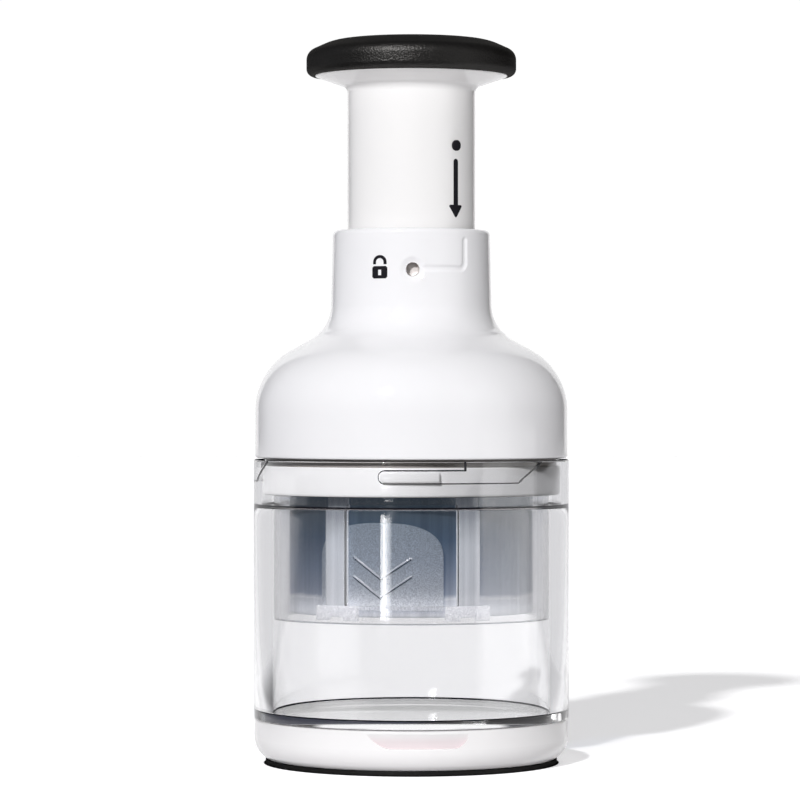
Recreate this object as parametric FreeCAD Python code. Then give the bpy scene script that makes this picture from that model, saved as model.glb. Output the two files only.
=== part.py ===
import FreeCAD, Part
import math
import os
from FreeCAD import Vector

# Plunger food chopper, millimetres. +Z up, origin at the centre of the
# underside of the non-slip ring. The front of the object faces -Y, +X is its
# right. An azimuth "phi" is measured from the front towards the right.

os.makedirs("parts", exist_ok=True)

# ---------------------------------------------------------------- dimensions
TRAVEL = 38.3            # plunger stroke
BLADE_TURN = 60.0        # blade turn per stroke, degrees
LOCK_TURN = 43.5         # plunger turn that locks it down, degrees
CUP_TURN = 31.5          # bayonet turn of the cup, degrees

# base
Z_FOOT = 1.5             # height of the foot ring
R_FOOT = 45.2
R_BASE = 48.9            # base lid
Z_BASE_TOP = 13.9
R_BASE_IN = 46.1

# cup
R_CUP = 49.2
R_CUP_TOP_IN = 46.9      # upper bore that takes the housing band
R_CUP_IN = 43.6          # bore below the ledge
R_CUP_IN_LOW = 43.4      # bore at the floor, draught
Z_CUP_STEP = 14.05
Z_CUP_FLOOR = 16.4
Z_CUP_LEDGE = 80.3
Z_CUP_RIM = 94.6
Z_SPIGOT = 7.0
R_SPIGOT = 45.7

# bayonet
Z_SLOT_LO, Z_SLOT_HI = 88.0, 91.95
R_SLOT = 48.5
Z_LUG_LO, Z_LUG_HI = 88.35, 91.6
R_LUG = 48.1

# housing
R_HOUS = 48.75
Z_SEAM = 95.2
R_BAND = 46.4
R_BAND_IN = 44.4
Z_BAND_LO, Z_BAND_HI = 83.8, 92.8
R_COLLAR_TOP = 24.5
R_COLLAR_LOW = 25.2
Z_COLLAR_TOP = 166.0
WALL = 2.4
Z_WINDOW = 153.4         # round window, dot position when locked
D_WINDOW = 4.2

# plunger
R_TUBE = 19.95
R_TUBE_IN = 17.9
Z_TUBE_BOT = 139.8
PHI_DOT = 43.5
Z_DOT = 191.7
R_KNOB = 32.75

# mechanism
Z_PLATE_LO, Z_PLATE_HI = 96.4, 99.8
R_COL = 8.0
Z_COL_TOP = 159.0
R_SPIN = 4.6
Z_CAR_DISC = 198.5       # underside of the carriage disc

# blade and cover
Z_BLADE_LO = 55.1
Z_BLADE_HI = 93.4
T_BLADE = 0.6
R_COVER = 38.0
R_COVER_IN = 36.4
Z_COVER_LO = 47.4
Z_FLOOR_LO, Z_FLOOR_HI = 49.0, 50.9

# skirt
R_SKIRT = 42.9
R_SKIRT_IN = 41.3
Z_SKIRT_LO = 45.4
Z_WIN_LO, Z_WIN_HI = 51.0, 81.5
PHI_WIN = -4.0           # azimuth of the front thumb window
WIN_HALF = 22.8          # half opening
POST_W = 9.6             # angular width of a window post


# ------------------------------------------------------------------- helpers
def rounded(pts, closed=True):
    """Wire in the XZ half plane from (r, z[, fillet]) corners."""
    n = len(pts)
    P = [Vector(p[0], 0, p[1]) for p in pts]
    rad = [p[2] if len(p) > 2 else 0.0 for p in pts]
    seg = []
    ends = []
    for i in range(n):
        if rad[i] > 0 and (closed or 0 < i < n - 1):
            A, B, C = P[i - 1], P[i], P[(i + 1) % n]
            u = (A - B).normalize()
            v = (C - B).normalize()
            th = math.acos(max(-1.0, min(1.0, u.dot(v))))
            t = rad[i] / math.tan(th / 2)
            a = B + u * t
            b = B + v * t
            bis = (u + v).normalize()
            cen = B + bis * (rad[i] / math.sin(th / 2))
            mid = cen - bis * rad[i]
            ends.append((a, b, mid))
        else:
            ends.append((P[i], P[i], None))
    for i in range(n):
        a, b, mid = ends[i]
        if mid is not None:
            seg.append(Part.Arc(a, mid, b).toShape())
        j = (i + 1) % n
        if i == n - 1 and not closed:
            break
        if (ends[j][0] - b).Length > 1e-6:
            seg.append(Part.LineSegment(b, ends[j][0]).toShape())
    return Part.Wire(seg)


def turned(pts):
    """Solid of revolution about Z from a closed (r, z[, fillet]) outline."""
    return Part.Face(rounded(pts)).revolve(Vector(0, 0, 0), Vector(0, 0, 1), 360)


def ring(r1, r2, z1, z2):
    s = Part.makeCylinder(r2, z2 - z1, Vector(0, 0, z1))
    if r1 > 0:
        s = s.cut(Part.makeCylinder(r1, z2 - z1 + 2, Vector(0, 0, z1 - 1)))
    return s


def spin(shape, deg):
    s = shape.copy()
    s.rotate(Vector(0, 0, 0), Vector(0, 0, 1), deg)
    return s


def sector(r1, r2, z1, z2, p1, p2):
    """Ring segment between two azimuths."""
    w = Part.makePolygon([Vector(0, -r1, z1), Vector(0, -r2, z1),
                          Vector(0, -r2, z2), Vector(0, -r1, z2), Vector(0, -r1, z1)])
    f = spin(Part.Face(w), p1)
    return f.revolve(Vector(0, 0, 0), Vector(0, 0, 1), p2 - p1)


def front_prism(pts, r1, r2, phi=0.0):
    """Prism along the radius at azimuth phi; pts are (tangent x, z)."""
    w = Part.makePolygon([Vector(x, -r1, z) for x, z in pts + [pts[0]]])
    return spin(Part.Face(w).extrude(Vector(0, -(r2 - r1), 0)), phi)


def front_cyl(rad, x, z, r1, r2, phi=0.0):
    return spin(Part.makeCylinder(rad, r2 - r1, Vector(x, -r1, z), Vector(0, -1, 0)), phi)


def cyl(r, z1, z2, x=0.0, y=0.0):
    return Part.makeCylinder(r, z2 - z1, Vector(x, y, z1))


def at(r, phi):
    a = math.radians(phi)
    return r * math.sin(a), -r * math.cos(a)


def fuse(shapes):
    s = shapes[0]
    if len(shapes) > 1:
        s = s.multiFuse(shapes[1:])
    return s.removeSplitter()


def save(name, shape):
    shape.exportStep("parts/%s.step" % name)
    print(name, len(shape.Solids), "solid(s)", round(shape.Volume, 1), shape.isValid())


def band_path(pts, bend, t):
    """Face of a strip of thickness t along a bent path in the XY plane."""
    n = len(pts)
    P = [Vector(x, y, 0) for x, y in pts]
    sides = {+1: [], -1: []}
    for s in (+1, -1):
        off = s * t / 2
        segs = []
        cur = None
        for i in range(n - 1):
            d = (P[i + 1] - P[i]).normalize()
            nrm = Vector(-d.y, d.x, 0) * off
            a = P[i] + nrm
            b = P[i + 1] + nrm
            if i > 0:
                e = (P[i] - P[i - 1]).normalize()
                turn = e.x * d.y - e.y * d.x
                u = e * -1
                th = math.acos(max(-1, min(1, u.dot(d))))
                cut = bend / math.tan(th / 2)
                bis = (u + d).normalize()
                cen = P[i] + bis * (bend / math.sin(th / 2))
                rr = bend - off if turn > 0 else bend + off
                p0 = P[i] - e * cut + Vector(-e.y, e.x, 0) * off
                p1 = P[i] + d * cut + nrm
                pm = cen - bis * rr
                segs.append(Part.LineSegment(cur, p0).toShape())
                segs.append(Part.Arc(p0, pm, p1).toShape())
                cur = p1
            else:
                cur = a
            if i == n - 2:
                segs.append(Part.LineSegment(cur, b).toShape())
        sides[s] = segs
    first = sides[+1]
    second = sides[-1]
    a0 = first[0].Vertexes[0].Point
    b0 = second[0].Vertexes[0].Point
    a1 = first[-1].Vertexes[-1].Point
    b1 = second[-1].Vertexes[-1].Point
    edges = first + [Part.LineSegment(a1, b1).toShape()] + second + [Part.LineSegment(b0, a0).toShape()]
    return Part.Face(Part.Wire(Part.__sortEdges__(edges)))


# --------------------------------------------------------------------- base
# Soft ring, its tongue sits in a groove of the lid's underside.
foot_ring = fuse([
    turned([(38.0, 0.0, 0.4), (R_FOOT, 0.0, 0.6), (R_FOOT, Z_FOOT), (38.0, Z_FOOT)]),
    ring(40.0, 43.0, Z_FOOT, Z_FOOT + 0.9)])

# White pull-off lid: large lower radius, flat underside, plain bore.
base_lid = turned([
    (0, Z_FOOT), (44.9, Z_FOOT, 1.2), (R_BASE, 9.4 - 5.2, 7.2), (R_BASE, Z_BASE_TOP, 0.5),
    (R_BASE_IN, Z_BASE_TOP, 0.4), (R_BASE_IN, 6.4), (45.2, 5.2), (44.2, 3.7, 1.5), (0, 3.7)])
base_lid = base_lid.cut(ring(40.0, 43.0, Z_FOOT - 0.5, Z_FOOT + 0.9))
# finger recess: the wall slopes inwards downwards and ends on a ledge
scoop = Part.Wire([
    Part.LineSegment(Vector(-15.2, -44, 12.9), Vector(15.6, -44, 12.9)).toShape(),
    Part.Arc(Vector(15.6, -44, 12.9), Vector(14.4, -44, 10.0), Vector(11.0, -44, 8.45)).toShape(),
    Part.LineSegment(Vector(11.0, -44, 8.45), Vector(-8.4, -44, 8.45)).toShape(),
    Part.Arc(Vector(-8.4, -44, 8.45), Vector(-12.4, -44, 10.2), Vector(-15.2, -44, 12.9)).toShape()])
scoop = Part.Face(scoop).extrude(Vector(0, -8, 0))
wedge = turned([(47.05, 8.3), (50.5, 8.3), (50.5, 13.2), (48.95, 13.2), (48.3, 11.6, 2.0)])
base_lid = base_lid.cut(spin(scoop.common(wedge), 2.0))

# ---------------------------------------------------------------------- cup
cup = turned([
    (R_SPIGOT, Z_SPIGOT, 0.5), (R_SPIGOT, Z_CUP_STEP), (R_CUP, Z_CUP_STEP, 0.4),
    (R_CUP, Z_CUP_RIM, 0.5), (R_CUP_TOP_IN, Z_CUP_RIM, 0.4), (R_CUP_TOP_IN, Z_CUP_LEDGE),
    (R_CUP_IN, Z_CUP_LEDGE, 0.8), (R_CUP_IN_LOW, Z_CUP_FLOOR, 1.2), (0, Z_CUP_FLOOR),
    (0, 13.2), (43.2, 13.2, 0.6), (43.2, Z_SPIGOT, 0.5)])
# groove for the seal
cup = cup.cut(ring(44.9, 47.0, 9.6, 11.4))


def bayonet_slot():
    rr = (Z_SLOT_HI - Z_SLOT_LO) / 2
    zc = (Z_SLOT_HI + Z_SLOT_LO) / 2
    s = sector(R_CUP_TOP_IN - 0.6, R_SLOT, Z_SLOT_LO, Z_SLOT_HI, -9.6, 42.0)
    c = front_cyl(rr, 0, zc, 40, 52, -9.6).common(ring(R_CUP_TOP_IN - 0.6, R_SLOT, 80, 100))
    pc = 38.0

    def u(p):
        return 47.7 * math.tan(math.radians(p - pc))
    m = front_prism([(u(19.7), 88.6), (u(42.0) - 0.02, Z_SLOT_LO), (u(56.6), Z_CUP_RIM + 0.6),
                     (u(19.7), Z_CUP_RIM + 0.6)], 40, 52, pc)
    m = m.common(ring(R_CUP_TOP_IN - 0.6, R_SLOT, 80, 100))
    return s.fuse([c, m])


for k in range(3):
    cup = cup.cut(spin(bayonet_slot(), 120.0 * k))
cup = cup.removeSplitter()

base_gasket = turned([(44.9, 9.65), (45.65, 9.65), (45.95, 10.1, 0.3), (45.95, 10.9, 0.3),
                      (45.65, 11.35), (44.9, 11.35)])

# ------------------------------------------------------------------ housing
SHO_Z1, SHO_F1 = 122.5, 21.7      # convex shoulder corner and radius
SHO_Z2, SHO_F2 = 135.4, 12.5      # concave neck corner and radius
# inner wall: the shoulder line moved inwards by the wall
dx, dz = R_COLLAR_LOW - R_HOUS, SHO_Z2 - SHO_Z1
ln = math.hypot(dx, dz)
ox, oz = -dz / ln * WALL, dx / ln * WALL
px, pz = R_HOUS + ox, SHO_Z1 + oz
sl = dz / dx
ri1, ri2 = R_HOUS - WALL, R_COLLAR_LOW - WALL + 0.2
zi1 = pz + sl * (ri1 - px)
zi2 = pz + sl * (ri2 - px)
R_NECK_IN = 22.1

housing_outer = [(R_HOUS, Z_SEAM, 0.6), (R_HOUS, SHO_Z1, SHO_F1), (R_COLLAR_LOW, SHO_Z2, SHO_F2),
                 (R_COLLAR_TOP, Z_COLLAR_TOP, 1.5)]
housing_shell = turned(housing_outer + [
    (20.7, Z_COLLAR_TOP, 0.4), (20.7, 164.6), (R_NECK_IN, 164.6), (R_NECK_IN, 144.0), (ri2, 143.0),
    (ri2, zi2, SHO_F2 + WALL), (ri1, zi1, SHO_F1 - WALL), (ri1, 104.0), (R_BAND_IN, 101.0),
    (R_BAND_IN, Z_BAND_LO, 0.4), (R_BAND, Z_BAND_LO, 0.6), (R_BAND, Z_BAND_HI, 0.4),
    (45.3, Z_BAND_HI), (45.3, Z_SEAM)])
solid_outer = turned([(0, 99.8), (R_HOUS - 0.6, 99.8)] + housing_outer[1:3] +
                     [(R_COLLAR_TOP - 0.6, 165.0), (0, 165.0)])
# three screw bosses for the mechanism plate
BOSS_R = 37.8
BOSS_PHI = (60.0, 180.0, 300.0)
for p in BOSS_PHI:
    x, y = at(BOSS_R, p)
    b = cyl(3.6, Z_PLATE_HI, 130.0, x, y).common(solid_outer)
    housing_shell = housing_shell.fuse(b)
    housing_shell = housing_shell.cut(cyl(1.3, 90.0, 112.0, x, y))
# three bayonet lugs with a rounded leading end
for k in range(3):
    rr = (Z_LUG_HI - Z_LUG_LO) / 2
    zc = (Z_LUG_HI + Z_LUG_LO) / 2
    lug = sector(R_BAND - 0.5, R_LUG, Z_LUG_LO, Z_LUG_HI, -9.4, 10.2)
    nose = front_cyl(rr, 0, zc, 44, 50, -9.4).common(ring(R_BAND - 0.5, R_LUG, 80, 100))
    housing_shell = housing_shell.fuse(spin(lug.fuse(nose), 120.0 * k))


# collar surface radius at a height
def collar_r(z):
    return R_COLLAR_TOP + (R_COLLAR_LOW - R_COLLAR_TOP) * (Z_COLLAR_TOP - z) / (Z_COLLAR_TOP - SHO_Z2)


# L-shaped witness groove of the dot's channel, round dish and window
GROOVE_D = 0.45
GROOVE_W = 1.5
groove_skin = turned([(collar_r(150) - GROOVE_D, 150), (27, 150), (27, 165), (collar_r(165) - GROOVE_D, 165)])
gz = 153.55
g2 = sector(20, 27, gz + 3.0, 163.0, 42.9 - 1.75, 42.9 + 1.75)
corner = fuse([front_cyl(GROOVE_W / 2, 0, 163.0, 20, 27, 42.9)])
outer_arc = []
inner_arc = []
RC = 3.0                  # elbow radius at mid groove
ccx, ccz = -RC, gz + RC
for k in range(9):
    a = math.radians(-90 + 90 * k / 8.0)
    outer_arc.append((ccx + (RC + GROOVE_W / 2) * math.cos(a), ccz + (RC + GROOVE_W / 2) * math.sin(a)))
    inner_arc.append((ccx + (RC - GROOVE_W / 2) * math.cos(a), ccz + (RC - GROOVE_W / 2) * math.sin(a)))
elbow = front_prism(outer_arc + inner_arc[::-1], 20, 27, 42.9)
g1 = sector(20, 27, gz - GROOVE_W / 2, gz + GROOVE_W / 2, 3.0, 36.1)
groove = g1.fuse([g2, elbow, corner]).common(groove_skin)
dish = Part.makeCone(4.3, 2.4, 1.0, Vector(0, -(collar_r(Z_WINDOW) + 0.35), Z_WINDOW), Vector(0, 1, 0))
housing_shell = housing_shell.cut(groove)
housing_shell = housing_shell.cut(dish)
housing_shell = housing_shell.cut(front_cyl(D_WINDOW / 2, 0, Z_WINDOW, 18, 27))
# notch in the top lip where the dot enters
housing_shell = housing_shell.cut(sector(19, 21.5, 164.0, 167.0, PHI_DOT - 6.0, PHI_DOT + 6.0))

# padlock mark, inlaid in the collar skin
PHI_LOCK = -23.0
lock_parts = []
body_pts = [(-2.5, 150.9), (-2.0, 150.4), (2.0, 150.4), (2.5, 150.9), (2.5, 153.7), (2.0, 154.2),
            (-2.0, 154.2), (-2.5, 153.7)]
lock_body = front_prism(body_pts, 20, 27, PHI_LOCK)
lock_body = lock_body.cut(front_prism([(-0.5, 151.4), (0.5, 151.4), (0.5, 153.1), (-0.5, 153.1)], 20, 27, PHI_LOCK))
sh_o, sh_i = [], []
for k in range(13):
    a = math.pi * k / 12.0
    sh_o.append((2.25 * math.cos(a), 155.4 + 2.2 * math.sin(a)))
    sh_i.append((1.25 * math.cos(a), 155.4 + 1.25 * math.sin(a)))
shackle = front_prism([(2.25, 154.75)] + sh_o + [(-2.25, 154.75), (-1.25, 154.75)] + sh_i[::-1] + [(1.25, 154.75)],
                      20, 27, PHI_LOCK)
mark_skin = turned([(collar_r(149) - 0.35, 149), (collar_r(149) + 0.03, 149),
                    (collar_r(159) + 0.03, 159), (collar_r(159) - 0.35, 159)])
lock_symbol = Part.makeCompound([lock_body.common(mark_skin), shackle.common(mark_skin)])
housing_shell = housing_shell.cut(lock_body.common(mark_skin)).cut(shackle.common(mark_skin))
housing_shell = housing_shell.removeSplitter()

# slide bush in the collar, with the channel that the dot runs in
collar_bush = ring(20.25, 22.05, 144.8, 164.5)
collar_bush = collar_bush.cut(sector(19.5, 20.95, 151.3, 166.0, PHI_DOT - 6.0, PHI_DOT + 6.0))
collar_bush = collar_bush.cut(sector(19.5, 20.95, 151.3, 155.5, -6.0, PHI_DOT + 6.0))
collar_bush = collar_bush.cut(front_cyl(2.6, 0, Z_WINDOW, 18, 24))
rest_bumper = turned([(20.4, 142.7, 0.4), (22.0, 142.7, 0.4), (22.0, 144.75), (20.4, 144.75)])

# -------------------------------------------------------- mechanism carrier
mechanism_plate = turned([(10.5, Z_PLATE_LO), (44.2, Z_PLATE_LO, 0.5), (44.2, Z_PLATE_HI), (10.5, Z_PLATE_HI)])
rib = ring(27.0, 28.4, Z_PLATE_HI, 103.0)
mechanism_plate = mechanism_plate.fuse(rib)
for k in range(6):
    mechanism_plate = mechanism_plate.fuse(spin(Part.makeBox(1.6, 9.0, 3.2, Vector(-0.8, -37.0, Z_PLATE_HI)), 30 + 60 * k))
for p in BOSS_PHI:
    x, y = at(BOSS_R, p)
    mechanism_plate = mechanism_plate.cut(cyl(1.7, 90, 105, x, y))
    # counterbore for the flat screw head
    mechanism_plate = mechanism_plate.cut(cyl(3.0, Z_PLATE_LO - 1.0, 97.0, x, y))
mechanism_plate = mechanism_plate.removeSplitter()
screws = []
for p in BOSS_PHI:
    x, y = at(BOSS_R, p)
    s = cyl(2.8, 95.35, 97.0, x, y)
    s = s.fuse(cyl(1.3, 96.9, 110.0, x, y))
    s = s.cut(Part.makeBox(3.4, 0.8, 1.0, Vector(x - 1.7, y - 0.4, 95.2)))
    s = s.cut(Part.makeBox(0.8, 3.4, 1.0, Vector(x - 0.4, y - 1.7, 95.2)))
    screws.append(s)
plate_screws = Part.makeCompound(screws)

# guide column: flange and root on the plate, three splines, head counterbore
guide_column = turned([
    (7.9, Z_PLATE_LO), (10.5, Z_PLATE_LO), (10.5, Z_PLATE_HI), (14.5, Z_PLATE_HI), (14.5, 102.0, 0.4),
    (10.4, 102.0), (10.4, 103.2, 0.4), (R_COL, 103.2), (R_COL, Z_COL_TOP, 0.4), (7.0, Z_COL_TOP),
    (7.0, 150.0), (5.1, 150.0), (5.1, 101.2), (7.9, 101.2)])
for k in range(3):
    sp = Part.makeBox(2.4, 2.2, 158.0 - 103.2, Vector(-1.2, -9.2, 103.2))
    guide_column = guide_column.fuse(spin(sp, 120.0 * k))
guide_column = guide_column.cut(cyl(5.1, 101.2, 150.5)).cut(cyl(7.0, 150.0, 160.0)).removeSplitter()

# face ratchet: the nut rests on saw teeth while the blade goes down
N_TEETH = 12


def saw(z0, h, r1, r2, n, grow=0.0):
    out = []
    w = 2 * math.pi * (r1 + r2) / 2 / n
    for k in range(n):
        t = front_prism([(-w / 2 + 0.02, z0 - 0.2), (w / 2 - 0.02, z0 - 0.2), (w / 2 - 0.02, z0 + h + grow),
                         (-w / 2 + 0.02, z0 + grow * 0.5)], r1, r2, 360.0 * k / n)
        out.append(t)
    return out


ratchet_ring = ring(5.2, 7.0, 150.0, 151.2)
ratchet_ring = ratchet_ring.fuse([t.common(ring(5.4, 6.9, 150, 153)) for t in saw(151.2, 0.8, 5.3, 7.2, N_TEETH)]).removeSplitter()
KAPPA = -BLADE_TURN / TRAVEL      # flute azimuth per mm of height
NUT_LO, NUT_HI = 151.2, 154.8
helix_nut = ring(4.9, 6.8, NUT_LO, NUT_HI)
helix_nut = helix_nut.cut(ratchet_ring)
z_tooth = 153.6
for k in (0, 180):
    tooth = front_prism([(-0.75, z_tooth - 0.9), (0.75, z_tooth - 0.9), (0.75, z_tooth + 0.9), (-0.75, z_tooth + 0.9)],
                        3.4, 5.4, KAPPA * z_tooth + k)
    helix_nut = helix_nut.fuse(tooth)
helix_nut = helix_nut.removeSplitter()
# wavy washer between the nut and the cap
pts = []
for k in range(36):
    a = 2 * math.pi * k / 36
    pts.append(Vector(6.0 * math.cos(a), 6.0 * math.sin(a), 156.1 + 0.75 * math.sin(3 * a)))
bs = Part.BSplineCurve()
bs.interpolate(Points=pts, PeriodicFlag=True)
path = Part.Wire(bs.toShape())
prof = Part.makePolygon([Vector(5.4, 0, 155.97), Vector(6.6, 0, 155.97), Vector(6.6, 0, 156.23),
                         Vector(5.4, 0, 156.23), Vector(5.4, 0, 155.97)])
mk = Part.BRepOffsetAPI.MakePipeShell(path)
mk.setBiNormalMode(Vector(0, 0, 1))
mk.add(prof)
mk.build()
mk.makeSolid()
wave_spring = mk.shape()
nut_cap = turned([(5.15, 157.0), (7.0, 157.0), (7.0, 158.9, 0.3), (5.15, 158.9, 0.3)])

# hooks that hold the tube's feet once the pressed plunger is turned
lock_ring = ring(22.4, 24.6, Z_PLATE_HI, 101.0)
for k in range(3):
    phi = 120.0 * k
    lock_ring = lock_ring.fuse(sector(22.4, 24.6, 100.5, 107.2, phi - 13, phi + 13))
    lock_ring = lock_ring.fuse(sector(20.35, 23.0, 104.7, 107.2, phi - 13, phi + 13))
lock_ring = lock_ring.removeSplitter()
stop_bumper = turned([(16.4, Z_PLATE_HI), (19.8, Z_PLATE_HI), (19.8, 101.1, 0.4), (16.4, 101.1, 0.4)])

# ----------------------------------------------------------------- carriage
carriage = turned([
    (8.4, 142.2, 0.3), (11.2, 142.2, 0.5), (11.2, Z_CAR_DISC), (17.3, Z_CAR_DISC, 0.5), (17.3, 203.0, 0.4),
    (10.0, 203.0), (10.0, 209.3, 0.4), (7.0, 209.3), (7.0, 201.0), (3.4, 201.0), (3.4, Z_CAR_DISC), (8.4, Z_CAR_DISC)])
for k in range(3):
    carriage = carriage.cut(spin(Part.makeBox(3.0, 2.6, Z_CAR_DISC - 141.0, Vector(-1.5, -9.6, 141.0)), 120.0 * k))
carriage = carriage.cut(ring(9.2, 11.0, 206.9, 208.1)).removeSplitter()
thrust_washer = ring(11.0, 16.8, 203.05, 203.75)
retaining_clip = ring(9.25, 12.2, 207.0, 208.0).cut(sector(5, 14, 206, 209, -16, 16))
retaining_clip = retaining_clip.fuse([cyl(1.3, 207.0, 208.0, *at(11.4, 21)), cyl(1.3, 207.0, 208.0, *at(11.4, -21))])
retaining_clip = retaining_clip.common(ring(0, 12.2, 206, 209))
retaining_clip = retaining_clip.removeSplitter()

# compression spring around the carriage sleeve
SPR_R, SPR_W = 13.2, 1.6
z0, z1 = 102.0 + SPR_W / 2 + 0.05, Z_CAR_DISC - SPR_W / 2 - 0.05
turns = 9.0
helix = Part.makeHelix((z1 - z0) / turns, z1 - z0, SPR_R)
helix.translate(Vector(0, 0, z0))
e = helix.Edges[0]
t0 = e.tangentAt(e.FirstParameter)
p0 = e.valueAt(e.FirstParameter)
circ = Part.Wire(Part.makeCircle(SPR_W / 2, p0, t0))
return_spring = Part.Wire(helix.Edges).makePipeShell([circ], True, True)

# ------------------------------------------------------------------ plunger
plunger_tube = turned([
    (R_TUBE_IN, Z_TUBE_BOT, 0.3), (R_TUBE, Z_TUBE_BOT, 0.4), (R_TUBE, 210.7, 2.6), (30.0, 214.1, 0.5),
    (30.0, 215.2), (22.0, 215.2), (18.6, 212.6, 2.0), (R_TUBE_IN, 208.0), (R_TUBE_IN, 206.6), (10.4, 206.6), (10.4, 204.0),
    (R_TUBE_IN, 204.0)])
for k in range(3):
    plunger_tube = plunger_tube.fuse(sector(R_TUBE - 0.6, 21.6, Z_TUBE_BOT, 142.3, PHI_DOT - 13 + 120 * k, PHI_DOT + 13 + 120 * k))
tube_outer = turned([(0, 150), (R_TUBE - 0.2, 150), (R_TUBE - 0.2, 209), (21.0, 213.0), (29, 214.6), (29, 215.2), (0, 215.2)])
for k in range(3):
    x, y = at(15.4, 60 + 120 * k)
    boss = cyl(2.7, 205.0, 215.2, x, y).common(tube_outer)
    plunger_tube = plunger_tube.fuse(boss)
for k in range(3):
    x, y = at(15.4, 60 + 120 * k)
    plunger_tube = plunger_tube.cut(cyl(1.15, 207.8, 216.0, x, y))
dot_skin = ring(18.9, 20.55, 180, 200)
position_dot = front_cyl(1.65, 0, Z_DOT, 15, 24, PHI_DOT).common(dot_skin)
arrow_skin = ring(19.55, R_TUBE + 0.03, 160, 200)
AR_T, AR_B = 187.6, 169.5
shaft = [(-0.95, 172.6), (0.95, 172.6)]
arc = [(0.95 * math.cos(math.pi * k / 8), AR_T - 0.95 + 0.95 * math.sin(math.pi * k / 8)) for k in range(9)]
shaft_f = front_prism(shaft + arc, 15, 24, PHI_DOT)
head = Part.Face(Part.Wire([
    Part.LineSegment(Vector(-2.15, -15, 173.35), Vector(2.15, -15, 173.35)).toShape(),
    Part.Arc(Vector(2.15, -15, 173.35), Vector(2.6, -15, 173.1), Vector(2.45, -15, 172.55)).toShape(),
    Part.LineSegment(Vector(2.45, -15, 172.55), Vector(0.45, -15, 169.75)).toShape(),
    Part.Arc(Vector(0.45, -15, 169.75), Vector(0, -15, AR_B), Vector(-0.45, -15, 169.75)).toShape(),
    Part.LineSegment(Vector(-0.45, -15, 169.75), Vector(-2.45, -15, 172.55)).toShape(),
    Part.Arc(Vector(-2.45, -15, 172.55), Vector(-2.6, -15, 173.1), Vector(-2.15, -15, 173.35)).toShape()]))
head = spin(head.extrude(Vector(0, -9, 0)), PHI_DOT)
travel_arrow = shaft_f.fuse(head).removeSplitter().common(arrow_skin)
plunger_tube = plunger_tube.cut(position_dot).cut(travel_arrow).removeSplitter()

knob_core = turned([(0, 215.2), (30.0, 215.2), (30.0, 219.5, 1.5), (27.0, 221.0, 1.0), (0, 221.0)])
knob_core = knob_core.cut(ring(6.0, 9.5, 214, 218.0))
ks = []
for k in range(3):
    x, y = at(15.4, 60 + 120 * k)
    knob_core = knob_core.cut(cyl(1.4, 214.0, 222.0, x, y)).cut(cyl(2.6, 218.4, 222.0, x, y))
    s = cyl(1.1, 209.0, 218.4, x, y).fuse(cyl(2.4, 218.4, 220.4, x, y))
    s = s.cut(Part.makeBox(3.0, 0.7, 1.2, Vector(x - 1.5, y - 0.35, 219.4)))
    s = s.cut(Part.makeBox(0.7, 3.0, 1.2, Vector(x - 0.35, y - 1.5, 219.4)))
    ks.append(s)
knob_screws = Part.makeCompound(ks)
knob_grip = turned([
    (0, 221.0), (27.0, 221.0, 1.0), (30.0, 219.5, 1.5), (30.0, 214.2, 0.3), (R_KNOB, 214.2, 2.2),
    (R_KNOB, 221.6, 3.7), (24.8, 225.2, 15.2), (0, 226.3)])

# -------------------------------------------------------- spindle and blade
blade_spindle = turned([
    (0, 93.6), (R_SPIN, 93.6), (R_SPIN, 198.1), (3.0, 198.1), (3.0, 204.4, 0.5), (0, 204.4)])
# long-pitch flutes
FL_LO, FL_HI = 149.0, 199.0
for k in (0, 180):
    wires = []
    nsec = 13
    for i in range(nsec):
        z = FL_LO + (FL_HI - FL_LO) * i / (nsec - 1)
        w = Part.makePolygon([Vector(-1.2, -3.1, z), Vector(1.2, -3.1, z), Vector(1.2, -6.0, z),
                              Vector(-1.2, -6.0, z), Vector(-1.2, -3.1, z)])
        w.rotate(Vector(0, 0, 0), Vector(0, 0, 1), KAPPA * z + k)
        wires.append(w)
    cutter = Part.makeLoft(wires, True, False)
    blade_spindle = blade_spindle.cut(cutter)
blade_spindle = blade_spindle.cut(ring(2.3, 3.5, 201.35, 202.25))
blade_spindle = blade_spindle.cut(cyl(1.6, 93.0, 100.2))
# flat on the lower end
FLAT = Part.makeBox(12, 4, 7.4, Vector(-6, 3.6, 93.5))
blade_spindle = blade_spindle.cut(FLAT)
spindle_clip = ring(2.3, 5.6, 201.4, 202.2).cut(Part.makeBox(4.2, 8, 4, Vector(-2.1, -8, 200)))
spindle_clip = spindle_clip.removeSplitter()

W = [(-32.6, 9.0), (-16.5, -32.5), (0.0, 33.5), (16.5, -32.5), (32.6, 9.0)]
BEND = 1.3
strip = band_path(W, BEND, T_BLADE)
strip.translate(Vector(0, 0, Z_BLADE_LO))
blade = strip.extrude(Vector(0, 0, Z_BLADE_HI - Z_BLADE_LO))
low = [e for e in blade.Edges if all(abs(v.Z - Z_BLADE_LO) < 1e-6 for v in e.Vertexes) and e.Length > 1.0]
try:
    zigzag_blade = blade.makeChamfer(0.9, 0.24, low)
    if not zigzag_blade.isValid() or zigzag_blade.Volume < blade.Volume * 0.9:
        raise ValueError("chamfer")
except Exception as err:
    print("blade edge left square:", err)
    zigzag_blade = blade

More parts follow.
